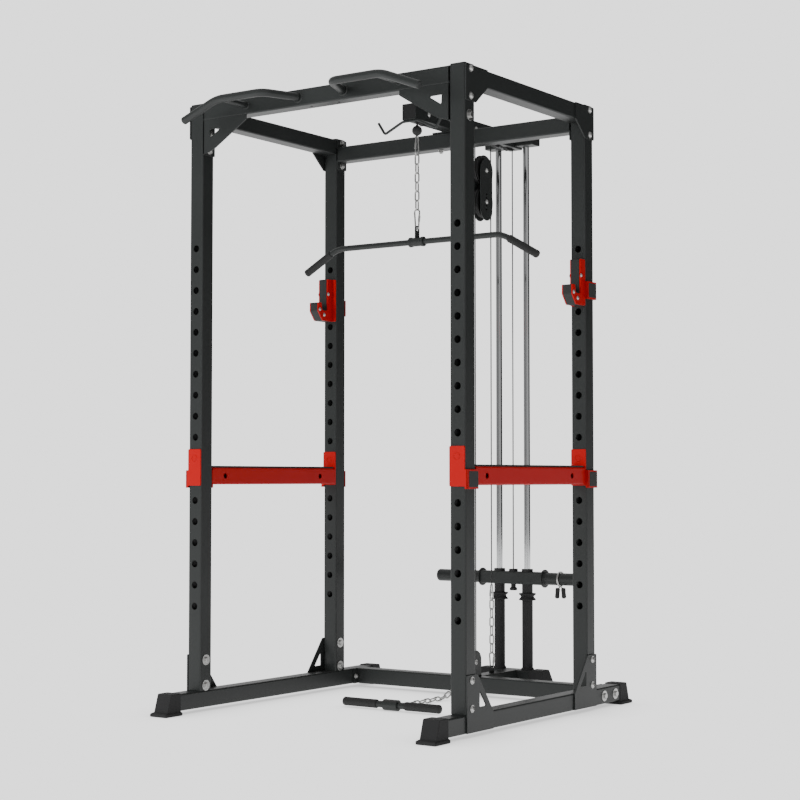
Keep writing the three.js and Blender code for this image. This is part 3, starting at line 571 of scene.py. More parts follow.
# A row of round holes cut through a mesh, at equal steps from the first.
def holesTree():
    tree, given = newTree(
        "roundHoles",
        [
            ("Count", "Int"), ("First", "Vector"), ("Step", "Vector"), ("Turn", "Rotation"),
            ("Radius", "Float"), ("Length", "Float"), ("Material", "Material")
        ]
    )
    source = given["Geometry"]
    line = source.node(
        "GeometryNodeMeshLine",
        {"Count": given["Count"], "Start Location": given["First"], "Offset": given["Step"]},
        mode="OFFSET"
    )
    drill = source.node(
        "GeometryNodeMeshCylinder", {"Vertices": 32, "Radius": given["Radius"], "Depth": given["Length"]}
    )
    drills = source.node(
        "GeometryNodeInstanceOnPoints", {"Points": line, "Instance": drill, "Rotation": given["Turn"]}
    )
    solid = source.node("GeometryNodeRealizeInstances", {"Geometry": drills})
    bored = source.node(
        "GeometryNodeMeshBoolean", {"Mesh 1": source, "Mesh 2": solid}, operation="DIFFERENCE",
        solver="MANIFOLD"
    )
    closeTree(tree, bored, given["Material"])
    return tree


# Copies of one object on the points of a mesh, each turned so that its +Z follows the point's "way".
def fastenersTree():
    tree, given = newTree("fasteners", [("Fastener", "Object"), ("Material", "Material")])
    source = given["Geometry"]
    way = source.node("GeometryNodeInputNamedAttribute", {"Name": "way"}, data_type="FLOAT_VECTOR")
    size = source.node("GeometryNodeInputNamedAttribute", {"Name": "size"}, data_type="FLOAT")
    turn = source.node("FunctionNodeAlignRotationToVector", {"Vector": way}, axis="Z")
    model = source.node("GeometryNodeObjectInfo", {"Object": given["Fastener"]}, "Geometry")
    points = source.node("GeometryNodeMeshToPoints", {"Mesh": source})
    copies = source.node(
        "GeometryNodeInstanceOnPoints",
        {"Points": points, "Instance": model, "Rotation": turn, "Scale": size}
    )
    closeTree(tree, copies, given["Material"])
    return tree


# Links along a curve in the plane x = 0, each rolled a quarter turn from the one before.
def chainTree():
    tree, given = newTree(
        "chain", [("Link", "Object"), ("Count", "Int"), ("Roll", "Float"), ("Material", "Material")]
    )
    source = given["Geometry"]
    spots = source.tree.nodes.new("GeometryNodeCurveToPoints")
    spots.mode = "COUNT"
    feed(tree, spots.inputs["Curve"], source)
    feed(tree, spots.inputs["Count"], given["Count"])
    along = source.node(
        "FunctionNodeAlignRotationToVector", {"Vector": Sock(tree, spots.outputs["Tangent"])}, axis="Z"
    )
    level = source.node(
        "FunctionNodeAlignRotationToVector", {"Rotation": along, "Vector": (1, 0, 0)}, axis="X",
        pivot_axis="Z"
    )
    index = source.node("GeometryNodeInputIndex")
    roll = index % 2.0 * (math.pi / 2) + given["Roll"]
    quarter = source.node("FunctionNodeAxisAngleToRotation", {"Axis": (0, 0, 1), "Angle": roll})
    turn = source.node(
        "FunctionNodeRotateRotation", {"Rotation": level, "Rotate By": quarter}, rotation_space="LOCAL"
    )
    model = source.node("GeometryNodeObjectInfo", {"Object": given["Link"]}, "Geometry")
    copies = source.node(
        "GeometryNodeInstanceOnPoints",
        {"Points": Sock(tree, spots.outputs["Points"]), "Instance": model, "Rotation": turn}
    )
    closeTree(tree, copies, given["Material"])
    return tree


roundHoles = holesTree()
fastenersOn = fastenersTree()
chainOn = chainTree()


def bored(mesh, count, first, step, way, radius, length, material):
    turn = up.rotation_difference(Vector(way)).to_euler()
    values = {
        "Count": count, "First": first, "Step": step, "Turn": tuple(turn), "Radius": radius,
        "Length": length, "Material": material
    }
    return grown(mesh, roundHoles, values)


# An unseen object that trees copy from.
def stencil(name, meshes):
    shape = bpy.data.objects.new(name, joined(name, [welded(mesh) for mesh in meshes]))
    bpy.context.scene.collection.objects.link(shape)
    return shape


def ringLoft(sides, rings):
    return loft([[(x, y, z) for x, y in circle(0, 0, radius, sides)] for radius, z in rings])


# Fastener heads with their seat at z = 0 and their top along +Z.
boltSizes = {
    "washer": 0.0125, "washerThick": 0.0016, "dome": 0.0098, "rise": 0.0056, "socket": 0.0042,
    "hex": 0.0104, "hexRise": 0.0072
}


def washerMesh(radius):
    thick = boltSizes["washerThick"]
    return lathe(
        [
            (0.004, 0), (radius - 0.0004, 0), (radius, 0.0004), (radius, thick - 0.0004),
            (radius - 0.0004, thick), (0.004, thick), (0.004, 0)
        ],
        (0, 0, 0), up, 32
    )


def domeBolt():
    seat = boltSizes["washerThick"]
    dome, rise, socket = boltSizes["dome"], boltSizes["rise"], boltSizes["socket"]
    arc = [
        (
            dome * math.cos(t), seat + rise * math.sin(t)
        ) for t in [math.radians(a) for a in (0, 18, 36, 52, 64)]
    ]
    head = lathe(
        [
            (0, seat), *arc, (socket, seat + rise * 0.93), (socket * 0.95, seat + rise * 0.3),
            (0, seat + rise * 0.3)
        ],
        (0, 0, 0), up, 24
    )
    return [washerMesh(boltSizes["washer"]), head]


def hexHead(seat):
    wide, rise = boltSizes["hex"], boltSizes["hexRise"]
    return ringLoft(6, [(wide, seat), (wide, seat + rise * 0.86), (wide * 0.9, seat + rise)])


def hexNut():
    seat = boltSizes["washerThick"]
    stud = lathe(
        [(0, seat), (0.0058, seat), (0.0058, seat + 0.0105), (0.0048, seat + 0.0118), (0, seat + 0.0118)],
        (0, 0, 0), up, 24
    )
    return [washerMesh(boltSizes["washer"]), hexHead(seat), stud]


def wideBolt():
    return [washerMesh(0.0195), hexHead(boltSizes["washerThick"])]


domeStencil = stencil("domeStencil", domeBolt())
nutStencil = stencil("nutStencil", hexNut())
wideStencil = stencil("wideStencil", wideBolt())
stencils = [domeStencil, nutStencil, wideStencil]


# Fasteners at (place, way, size) spots, as one object that rides on a body.
def fasteners(name, model, spots, body, material=zinc):
    points = meshOf([place for place, _, _ in spots], [])
    points.attributes.new("way", "FLOAT_VECTOR", "POINT")
    points.attributes.new("size", "FLOAT", "POINT")
    for i, (_, way, size) in enumerate(spots):
        points.attributes["way"].data[i].vector = way
        points.attributes["size"].data[i].value = size
    mesh = grown(points, fastenersOn, {"Fastener": model, "Material": material})
    shape = piece(name, [mesh], material, body)
    return shape


def mirroredSpots(spots):
    flipped = [((-p[0], p[1], p[2]), (-w[0], w[1], w[2]), size) for p, w, size in spots]
    return spots + flipped


print("tools ready")

# cage frame

post = {
    "corner": 0.0065, "holes": 18, "pitch": 0.0762, "topHole": postTop - 0.528, "holeRadius": 0.0128,
    "plug": 0.0022
}


def uprightMesh(y):
    shell = squareTube("z", (inner, outer), (y, y + tube), baseTop, postTop, post["corner"])
    first = (postX, y + tube / 2, post["topHole"])
    return bored(
        shell, post["holes"], first, (0, 0, -post["pitch"]), rearward, post["holeRadius"], tube * 1.4,
        paint
    )


for place, y in (("front", frontFace), ("rear", frontFace + cageDepth)):
    mesh = uprightMesh(y)
    lip = rectangle(inner + 0.001, outer - 0.001, y + 0.001, y + tube - 0.001, post["corner"])
    plug = slab([lip], postTop - 0.001, postTop + post["plug"], "z", 0.001)
    for side in ("right", "left"):
        piece(
            f"{place}_{side}_post", [mesh], paint, "cage", [f"{place}_{side}_upright"],
            side == "left"
        )
        piece(f"{place}_{side}_post_plug", [plug], nylon, "cage", [], side == "left")

gap = 0.0003
plate = 0.005
sideSpan = (outer + gap, outer + gap + plate)
railEnds = (back(-0.150), back(cageDepth + 0.292))
rearFace = frontFace + cageDepth + tube
basePlate = {"top": 0.203, "reach": 0.160, "head": 0.064}
topPlate = {"drop": 0.121, "reach": 0.134, "foot": 0.062}


# An outline of (depth, height) points, as loops for both ends of the cage.
def flippedDepth(loop):
    return [(frontFace + rearFace - y, z) for y, z in loop]


def basePlateLoops():
    top, reach, head = basePlate["top"], basePlate["reach"], basePlate["head"]
    outline = rounded(
        [
            (back(0), baseLow + 0.001, 0.001), (back(reach), baseLow + 0.001, 0.001),
            (back(reach), baseTop - 0.001, 0.004), (back(head), top, 0.006), (back(0), top, 0.004)
        ],
        0.004
    )
    window = rounded(
        [
            (back(head + 0.012), baseTop + 0.02), (back(reach - 0.042), baseTop + 0.02),
            (back(head + 0.012), top - 0.053)
        ],
        0.004
    )
    return [outline, window]


baseTube = squareTube("y", (inner + gap, outer + gap), (baseLow, baseTop - gap), *railEnds)
frontPlate = slab(basePlateLoops(), *sideSpan, "x")
rearPlate = slab([flippedDepth(loop) for loop in basePlateLoops()], *sideSpan, "x")
bothSides("base_tube", [baseTube], paint, "cage", "{side}_base_rail")
bothSides("base_plates", [frontPlate, rearPlate], paint, "cage", None)

topLow = railTop - tube
topOutline = rounded(
    [
        (back(0), railTop - topPlate["drop"]), (back(topPlate["foot"]), railTop - topPlate["drop"]),
        (back(topPlate["reach"]), topLow, 0.004), (back(topPlate["reach"]), railTop, 0.001),
        (back(0), railTop)
    ],
    0.005
)
topTube = squareTube(
    "y", (inner + gap, outer + gap), (topLow, railTop), back(tube + gap), back(cageDepth - gap)
)
topPlates = [slab([topOutline], *sideSpan, "x"), slab([flippedDepth(topOutline)], *sideSpan, "x")]
bothSides("top_tube", [topTube], paint, "cage", "{side}_top_rail")
bothSides("top_plates", topPlates, paint, "cage", None)

beamEnd = inner - gap
frontBeam = {"drop": 0.185, "gusset": 0.202, "end": 0.017, "vent": 0.0052, "ventX": 0.060}
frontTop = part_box("front_crossbeam")[1].z
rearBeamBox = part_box("rear_crossbeam")
rearBeam = {"plateRise": 0.031}
rearTop = rearBeamBox[1].z - rearBeam["plateRise"]
rearDrop = rearBeamBox[1].z - rearBeamBox[0].z


def endPlate(y, top, drop):
    return slab([rectangle(y, y + tube, top - drop, top, 0.004)], beamEnd - plate, beamEnd, "x")


frontTube = squareTube("x", (back(0), back(tube)), (frontTop - tube, frontTop), -beamEnd, beamEnd)
ventAt = (-frontBeam["ventX"], back(tube / 2), frontTop - tube)
frontTube = bored(
    frontTube, 2, ventAt, (2 * frontBeam["ventX"], 0, 0), up, frontBeam["vent"], 0.02, paint
)
low = frontTop - frontBeam["drop"]
gusset = rounded([
    (beamEnd, low), (beamEnd, frontTop - tube + 0.001, 0.001),
    (beamEnd - frontBeam["gusset"], frontTop - tube + 0.001, 0.001),
    (beamEnd - frontBeam["gusset"], frontTop - tube - frontBeam["end"], 0.002),
    (beamEnd - 0.052, low + 0.017),
], 0.004)
window = rounded(
    [(beamEnd - 0.033, low + 0.059), (beamEnd - 0.031, low + 0.091), (beamEnd - 0.084, low + 0.090)],
    0.004
)
gussetMesh = slab([gusset, window], back(0), back(plate), "y")
piece("front_beam_tube", [frontTube], paint, "cage", ["front_crossbeam"])
bothSides(
    "front_beam_end", [endPlate(back(0), frontTop, frontBeam["drop"]), gussetMesh], paint, "cage", None,
)
rearTube = squareTube("x", (back(cageDepth), rearFace), (rearTop - tube, rearTop), -beamEnd, beamEnd)
piece("rear_beam_tube", [rearTube], paint, "cage", ["rear_crossbeam"])
rearPlate = endPlate(back(cageDepth), rearBeamBox[1].z, rearDrop)
bothSides("rear_beam_end", [rearPlate], paint, "cage", None)

lower = {"centre": back(cageDepth + 0.170), "flange": 0.024}
lowerSpan = (lower["centre"] - tube / 2, lower["centre"] + tube / 2)
lowerTube = squareTube("x", lowerSpan, (baseLow, baseTop - gap), -inner + plate, inner - plate)
flangeLoop = rectangle(
    lowerSpan[0] - lower["flange"], lowerSpan[1] + lower["flange"], baseLow, baseTop - gap, 0.004
)
piece("lower_tube", [lowerTube], paint, "cage", ["lower_crossmember"])
bothSides(
    "lower_flange", [slab([flangeLoop], inner - plate, inner, "x")], paint, "cage", None
)
print("cage frame made")

# rubber feet

foot = {
    "wall": 0.003, "nose": 0.006, "grip": 0.046, "skirt": 0.039, "towerSkirt": 0.046, "toe": 0.034,
    "taper": 0.020, "heel": 0.003, "base": 0.012, "top": 0.003, "corner": 0.005
}


# A flared cap: rounded rectangles of (x span, y span, z), pulled in from the floor to the top.
def flaredCap(levels, corner):
    return loft([[(x, y, z) for x, y in rectangle(*spanX, *spanY, corner)] for spanX, spanY, z in levels])


def capLevels(low, ankle, high, footTop):
    (lowX, lowY), (ankleX, ankleY), (highX, highY) = low, ankle, high
    soft = 0.0025

    def inset(span, amount):
        return (span[0] + amount, span[1] - amount)

    def blended(t):
        mix = [
            tuple(a + (b - a) * t for a, b in zip(lo, hi)) for lo,
            hi in ((ankleX, highX), (ankleY, highY))
        ]
        return mix[0], mix[1]

    first = foot["base"]
    levels = [
        (inset(lowX, soft), inset(lowY, soft), 0), (lowX, lowY, soft * 0.6), (lowX, lowY, first - soft)
    ]
    levels.append((inset(lowX, soft), inset(lowY, soft), first))
    for t in (0.05, 0.5, 0.97):
        spanX, spanY = blended(t)
        levels.append((spanX, spanY, first + (footTop - first) * t))
    levels.append((inset(highX, soft), inset(highY, soft), footTop))
    return levels


capTop = baseTop - gap + foot["top"]
centreX = postX + gap
for place, end, way in (("front", railEnds[0], -1), ("rear", railEnds[1], 1)):
    nose = end + way * foot["nose"]
    backEnd = end - way * foot["grip"]
    lowY = tuple(sorted((nose + way * foot["toe"], backEnd - way * foot["heel"])))
    highY = tuple(sorted((nose, backEnd)))
    half = tube / 2
    ankleY = tuple(sorted((nose + way * foot["taper"], backEnd)))
    low = ((centreX - foot["skirt"], centreX + foot["skirt"]), lowY)
    sideX = (centreX - half - foot["wall"], centreX + half + foot["wall"])
    shape = flaredCap(capLevels(low, (sideX, ankleY), (sideX, highY), capTop), foot["corner"])
    bothSides(f"{place}_cap", [shape], rubber, "cage", "{side}_" + place + "_foot", 50)

towerY = (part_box("right_guide_rod")[0].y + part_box("right_guide_rod")[1].y) / 2
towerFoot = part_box("right_tower_foot")
half = tube / 2
lowX = (towerFoot[0].x, towerFoot[1].x)
highX = (towerFoot[0].x, towerFoot[1].x - 0.019)
low = (lowX, (towerY - foot["towerSkirt"], towerY + foot["towerSkirt"]))
high = (highX, (towerY - half - foot["wall"], towerY + half + foot["wall"]))
shape = flaredCap(capLevels(low, low, high, capTop), foot["corner"])
bothSides("tower_cap", [shape], rubber, "cage", "{side}_tower_foot", 50)
print("feet made")

# pull-up handles

handle = {
    "radius": 0.014, "proud": 0.136, "tipX": 0.510, "bendX": 0.354, "innerX": 0.149, "rootX": 0.096,
    "tipDrop": 0.090, "drop": 0.030, "stubX": 0.334, "stub": 0.011, "bend": 0.030
}
handleZ = postTop - handle["drop"]
handleY = back(-handle["proud"])
handlePath = bentPath(
    [
        (handle["tipX"], handleY, postTop - handle["tipDrop"]), (handle["bendX"], handleY, handleZ),
        (handle["innerX"], handleY, handleZ), (handle["rootX"], back(-gap), handleZ)
    ],
    handle["bend"],
)
points, radii = roundEnded(handlePath, handle["radius"], 0.005)
stub = rod(
    handle["stub"], (handle["stubX"], back(-gap), handleZ), (handle["stubX"], handleY, handleZ), 0.0005
)
weldRings = [
    lathe(
        [(0.0, 0), (r + 0.0035, 0), (r + 0.001, 0.003), (0, 0.003)], (x, back(-gap), handleZ), -rearward
    ) for x,
    r in ((handle["rootX"] + 0.002, handle["radius"] * 1.2), (handle["stubX"], handle["stub"]))
]
bothSides(
    "handle", [sweep(points, radii, 28), stub, *weldRings], paint, "cage", "{side}_pull_up_handle",
    40
)
print("handles made")

# boom

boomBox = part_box("boom")
boomTop = boomBox[1].z
boomLow = boomTop - tube
boomEnds = (back(0.541), towerY + 0.030)
pulleyZ = boomTop - half
boom = {
    "slot": 0.026, "slotEase": 0.004, "corner": 0.003, "armHalf": 0.112, "armDrop": 0.054, "foot": 0.150,
    "wheel": 0.040
}
latY = (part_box("lat_drop_cable")[0].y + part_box("lat_drop_cable")[1].y) / 2
wheels = {
    name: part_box(name) for name in (
        "boom_front_pulley", "boom_drop_pulley", "boom_rise_pulley", "boom_rear_pulley"
    )
}
wheelY = {name: (ends[0].y + ends[1].y) / 2 for name, ends in wheels.items()}


def boomTube():
    shell = squareTube("y", (-half, half), (boomLow, boomTop), *boomEnds, boom["corner"])
    cutters = []
    for y in wheelY.values():
        reach = boom["wheel"] + boom["slotEase"]
        cutters.append(
            slab(
                [rectangle(-boom["slot"] / 2, boom["slot"] / 2, y - reach, y + reach, 0.012)],
                boomLow - 0.01, boomTop + 0.01
            )
        )
    carrier = bpy.data.objects.new("carrier", shell)
    bpy.context.scene.collection.objects.link(carrier)
    tools = [stencil("slotTool", [cutter]) for cutter in cutters]
    for tool in tools:
        modifier = carrier.modifiers.new("slot", "BOOLEAN")
        modifier.object = tool
        modifier.solver = "EXACT"
    mesh = bpy.data.meshes.new_from_object(carrier.evaluated_get(bpy.context.evaluated_depsgraph_get()))
    for extra in (carrier, *tools):
        bpy.data.objects.remove(extra)
    return mesh


armLow = boomTop - boom["armDrop"]
armSpan = (towerY - half, towerY + half)
arms = squareTube("x", armSpan, (armLow, boomTop - 0.0002), -boom["armHalf"], boom["armHalf"], 0.005)
seat = slab(
    [rectangle(-boom["foot"] / 2, boom["foot"] / 2, back(cageDepth), rearFace, 0.006)], rearTop + gap,
    boomLow + 0.0004
)
frontPlug = slab(
    [rectangle(-half + wall, half - wall, boomLow + wall, boomTop - wall, 0.004)], boomEnds[0] + 0.001,
    boomEnds[0] + 0.004, "y", 0.001
)
rearPlug = slab(
    [rectangle(-half + 0.0005, half - 0.0005, boomLow + 0.0005, boomTop - 0.0005, 0.005)],
    boomEnds[1] - 0.004, boomEnds[1], "y", 0.001
)
piece("boom_tube", [boomTube()], paint, "cage", ["boom"])
piece("boom_arms", [arms, seat, rearPlug], paint, "cage", [])
piece("boom_plug", [frontPlug], nylon, "cage", [])
armPlug = slab(
    [rectangle(armSpan[0] + wall, armSpan[1] - wall, armLow + wall, boomTop - wall, 0.003)],
    boom["armHalf"] - 0.004, boom["armHalf"] - 0.001, "x", 0.001
)
bothSides("arm_plug", [armPlug], nylon, "cage", None)

rest = {
    "rod": 0.005, "y": back(0.550), "reach": 0.115, "tip": 0.145, "dip": postTop - 0.071,
    "tipZ": postTop - 0.025, "root": 0.034
}
restLevel = boomLow - rest["rod"] + 0.001
restPath = bentPath(
    [
        (-rest["tip"], rest["y"], rest["tipZ"]), (-rest["reach"], rest["y"], rest["dip"]),
        (-rest["root"], rest["y"], restLevel), (rest["root"], rest["y"], restLevel),
        (rest["reach"], rest["y"], rest["dip"]), (rest["tip"], rest["y"], rest["tipZ"])
    ],
    0.010,
)
points, radii = roundEnded(restPath, rest["rod"], 0.002)
piece("bar_rest", [sweep(points, radii, 16)], paint, "cage", [], sharp=40)
print("boom made")

# pulleys

pulleySizes = {
    "small": {"rim": 0.040, "groove": 0.0336, "hub": 0.014, "bore": 0.0056, "half": 0.009, "dish": 0.003},
    "large": {"rim": 0.061, "groove": 0.0546, "hub": 0.018, "bore": 0.0056, "half": 0.009, "dish": 0.003},
}


# A grooved wheel with a dished web, a raised hub and a steel bearing in its bore.
def pulley(name, node, body, kind):
    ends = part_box(node)
    y = (ends[0].y + ends[1].y) / 2
    z = (ends[0].z + ends[1].z) / 2
    size = pulleySizes[kind]
    side, rim, floor, hub = size["half"], size["rim"], size["groove"], size["hub"]
    web = side - size["dish"]
    bearing = hub - 0.004
    profile = [
        (bearing, -side), (hub, -side), (hub + 0.001, -side + 0.0005), (hub + 0.002, -web),
        (floor - 0.004, -web), (floor - 0.002, -side + 0.0004),
        (rim - 0.001, -side), (rim, -side + 0.001), (floor + 0.001, -0.0034), (floor, -0.0022),
        (floor, 0.0022), (floor + 0.001, 0.0034),
        (rim, side - 0.001), (rim - 0.001, side), (floor - 0.002, side - 0.0004), (floor - 0.004, web),
        (hub + 0.002, web), (hub + 0.001, side - 0.0005),
        (hub, side), (bearing, side), (bearing, -side),
    ]
    wheel = lathe(profile, (0, y, z), right, 48)
    piece(name, [wheel], nylon, body, [node], sharp=28)
    race = lathe(
        [
            (size["bore"], -side + 0.0006), (bearing - 0.0002, -side + 0.0006),
            (bearing - 0.0002, side - 0.0006), (size["bore"], side - 0.0006),
            (size["bore"], -side + 0.0006)
        ],
        (0, y, z), right, 32
    )
    piece(f"{name}_bearing", [race], zinc, body)


for name, body in (
    ("boom_front_pulley", "front_pulley"), ("boom_drop_pulley", "drop_pulley"),
    ("boom_rise_pulley", "rise_pulley"), ("boom_rear_pulley", "rear_pulley"), ("low_pulley", "low_pulley")
):
    pulley(f"{name}_wheel", name, body, "small")
pulley("upper_block_wheel", "upper_block_pulley", "upper_pulley", "large")
pulley("lower_block_wheel", "lower_block_pulley", "lower_pulley", "large")


def pin(radius, y, z, reach):
    return rod(radius, (-reach, y, z), (reach, y, z), 0.0005, 20)


boomPins = [pin(0.0046, y, pulleyZ, half - 0.001) for y in wheelY.values()]
piece("boom_axles", boomPins, zinc, "cage")

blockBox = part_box("floating_block")
blockY = (blockBox[0].y + blockBox[1].y) / 2
upperZ = (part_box("upper_block_pulley")[0].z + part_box("upper_block_pulley")[1].z) / 2
lowerZ = (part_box("lower_block_pulley")[0].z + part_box("lower_block_pulley")[1].z) / 2
block = {
    "half": 0.043, "inside": 0.014, "thick": 0.004, "hole": 0.0048,
    "spots": (0.031, 0.016, -0.014, -0.030)
}


def blockCheek():
    topC = blockBox[1].z - block["half"]
    lowC = blockBox[0].z + block["half"]
    arc = [math.pi * k / 24 for k in range(25)]
    outline = [(blockY + block["half"] * math.cos(t), topC + block["half"] * math.sin(t)) for t in arc]
    outline += [(blockY - block["half"] * math.cos(t), lowC - block["half"] * math.sin(t)) for t in arc]
    holes = [circle(blockY, lowerZ + rise, block["hole"], 20) for rise in block["spots"]]
    return slab([outline, *holes], block["inside"], block["inside"] + block["thick"], "x", 0.001)


bothSides("block_cheek", [blockCheek()], paint, "floating_block", None)
blockEnd = block["inside"] + block["thick"]
blockPins = [pin(0.0046, blockY, z, blockEnd - 0.0005) for z in (upperZ, lowerZ)]
spacers = []
for z in (upperZ, lowerZ):
    for way in (-1, 1):
        spacers.append(
            lathe(
                [(0.0048, 0.0095), (0.009, 0.0095), (0.009, 0.0138), (0.0048, 0.0138), (0.0048, 0.0095)],
                (0, blockY, z), right * way, 24
            )
        )
piece(
    "block_axles", [*blockPins, *spacers], zinc, "floating_block", ["floating_block"]
)

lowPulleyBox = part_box("low_pulley")
lowY = (lowPulleyBox[0].y + lowPulleyBox[1].y) / 2
lowZ = (lowPulleyBox[0].z + lowPulleyBox[1].z) / 2
bracket = {"half": 0.038, "top": 0.175, "inside": 0.022, "thick": 0.003}


def bracketLoop():
    arc = [math.pi * k / 24 for k in range(25)]
    centre = bracket["top"] - bracket["half"]
    top = [(lowY + bracket["half"] * math.cos(t), centre + bracket["half"] * math.sin(t)) for t in arc]
    return [(lowY + bracket["half"], baseTop - 0.0003), *top, (lowY - bracket["half"], baseTop - 0.0003)]


bracketEnd = bracket["inside"] + bracket["thick"]
bothSides(
    "low_cheek", [slab([bracketLoop()], bracket["inside"], bracketEnd, "x")], paint, "cage", None,
)
lowSeat = slab(
    [rectangle(-bracketEnd, bracketEnd, lowY - 0.012, lowY + bracket["half"], 0.001)], baseTop - 0.0004,
    baseTop + wall
)
piece("low_seat", [lowSeat], paint, "cage", [])
lowSpacers = [
    lathe(
        [(0.0048, 0.0096), (0.0085, 0.0096), (0.0085, 0.0218), (0.0048, 0.0218), (0.0048, 0.0096)],
        (0, lowY, lowZ), right * way, 24
    ) for way in (-1, 1)
]
piece("low_axle", [pin(0.0046, lowY, lowZ, bracketEnd - 0.0005), *lowSpacers], zinc, "cage")
print("pulleys made")

# cables

cable = {"radius": 0.0025, "turn": 0.037, "bigTurn": 0.058}


def arcPoints(y, z, radius, start, end, steps=16):
    turns = [math.radians(start + (end - start) * k / steps) for k in range(steps + 1)]
    return [(0, y + radius * math.cos(t), z + radius * math.sin(t)) for t in turns]


def cableAlong(name, points, body, node=None):
    return piece(
        name, [sweep(points, cable["radius"], 14)], sheath, body, [node] if node else [],
        sharp=60
    )


def overBoom(first, second):
    return arcPoints(
        wheelY[first], pulleyZ, cable["turn"], 180, 90
    ) + arcPoints(wheelY[second], pulleyZ, cable["turn"], 90, 0)


cableAlong(
    "front_boom_cable", overBoom("boom_front_pulley", "boom_drop_pulley"), "cage", "boom_front_cable"
)
cableAlong("rear_boom_cable", overBoom("boom_rise_pulley", "boom_rear_pulley"), "cage", "boom_rear_cable")
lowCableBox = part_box("low_cable")
lowCablePath = [
    (0, lowCableBox[0].y, lowZ - cable["turn"])
] + arcPoints(lowY, lowZ, cable["turn"], -90, 0)
cableAlong("row_cable", lowCablePath, "cage", "low_cable")
cableAlong(
    "upper_block_cable", arcPoints(blockY, upperZ, cable["bigTurn"], 180, 360, 28), "floating_block"
)
cableAlong("lower_block_cable", arcPoints(blockY, lowerZ, cable["bigTurn"], 180, 0, 28), "floating_block")


# A straight strand in place of a cable part, from a height at the cage to the height of a moving body's end;
# it is not attached to that body.
def strand(name, node, still, moving):
    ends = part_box(node)
    y = (ends[0].y + ends[1].y) / 2
    count = 24
    points = [(0, y, still + (moving - still) * k / count) for k in range(count + 1)]
    rope = shown(name, [sweep(points, cable["radius"], 14)], sheath, sharp=60)
    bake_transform(rope)
    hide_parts(node)


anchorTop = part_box("lower_rear_strand")[0].z
strand("lat_strand", "lat_drop_cable", pulleyZ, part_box("lat_drop_cable")[0].z)
strand("lift_strand", "carriage_cable", pulleyZ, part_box("carriage_cable")[0].z)
strand("front_upper_strand", "upper_front_strand", pulleyZ, upperZ)
strand("rear_upper_strand", "upper_rear_strand", pulleyZ, upperZ)
strand("front_lower_strand", "lower_front_strand", lowZ, lowerZ)
strand("rear_lower_strand", "lower_rear_strand", anchorTop, lowerZ)
print("cables made")

# chains

linkSize = {"length": 0.0428, "width": 0.0218, "wire": 0.0058, "pitch": 0.0343, "count": 6}
clipSizes = {
    "long": {"length": 0.079, "width": 0.028, "wire": 0.006},
    "short": {"length": 0.068, "width": 0.026, "wire": 0.006},
}
clipOverlap = 0.002


# A closed loop of wire in the (x, z) plane, with its length along z. A waist below 1 narrows one end.
def wireLoop(size, waist=1.0, steps=12):
    radius = (size["width"] - size["wire"]) / 2
    straight = size["length"] / 2 - size["width"] / 2
    points = []
    for k in range(steps + 1):
        t = math.pi * k / steps
        points.append((radius * math.cos(t), 0, straight + radius * math.sin(t)))
    small = radius * waist
    shift = size["length"] / 2 - size["wire"] / 2 - small
    for k in range(steps + 1):
        t = math.pi + math.pi * k / steps
        points.append((small * math.cos(t), 0, -shift + small * math.sin(t)))
    return sweep(points, size["wire"] / 2, 14, True)


def clipMesh(size):
    bodyLoop = wireLoop(size, 0.62)
    radius = (size["width"] - size["wire"]) / 2
    sleeve = size["wire"] / 2 + 0.0012
    gate = lathe(
        [(0, -0.011), (sleeve, -0.011), (sleeve, 0.011), (0, 0.011)], (radius * 0.86, 0, 0.002),
        Vector((0.12, 0, 1)), 20
    )
    return [bodyLoop, gate]


linkStencil = stencil("linkStencil", [wireLoop(linkSize)])
stencils.append(linkStencil)


def linksAlong(points, count, roll):
    curve = bpy.data.curves.new("path", "CURVE")
    curve.dimensions = "3D"
    spline = curve.splines.new("POLY")
    spline.points.add(len(points) - 1)
    for point, place in zip(spline.points, points):
        point.co = (*place, 1)
    return grown(curve, chainOn, {"Link": linkStencil, "Count": count, "Roll": roll, "Material": zinc})


# A clip at a place in the plane x = 0, pitched in that plane after it is rolled about its own length.
def placedClip(size, y, z, pitch, roll, flip=False):
    meshes = clipMesh(size)
    turn = Matrix.Rotation(pitch, 4, "X") @ Matrix.Rotation(roll, 4, "Z")
    if flip:
        turn = turn @ Matrix.Rotation(math.pi, 4, "Y")
    for mesh in meshes:
        mesh.transform(Matrix.Translation((0, y, z)) @ turn)
    return meshes


def hangingChain(name, node, y, top, kind, body):
    size = clipSizes[kind]
    joint = size["wire"] / 2 + clipOverlap + linkSize["wire"] / 2
    firstZ = top - size["length"] + joint - linkSize["length"] / 2
    lastZ = firstZ - (linkSize["count"] - 1) * linkSize["pitch"]
    bottom = lastZ - linkSize["length"] / 2 + joint
    links = linksAlong(
        [(0, y, firstZ), (0, y, (firstZ + lastZ) / 2), (0, y, lastZ)], linkSize["count"], 0.0
    )
    upperClip = placedClip(size, y, top - size["length"] / 2, 0, math.pi / 2, True)
    lowerClip = placedClip(size, y, bottom - size["length"] / 2, 0, 0)
    piece(name, [links, *upperClip, *lowerClip], zinc, body, [node], sharp=50)


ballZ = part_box("lat_chain")[1].z - 0.019
latClipTop = ballZ - 0.019 + clipOverlap
hangingChain("lat_links", "lat_chain", latY, latClipTop, "long", "lat_bar")
anchorY = (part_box("anchor_chain")[0].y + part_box("anchor_chain")[1].y) / 2
hangingChain("anchor_links", "anchor_chain", anchorY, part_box("anchor_chain")[1].z, "short", "cage")

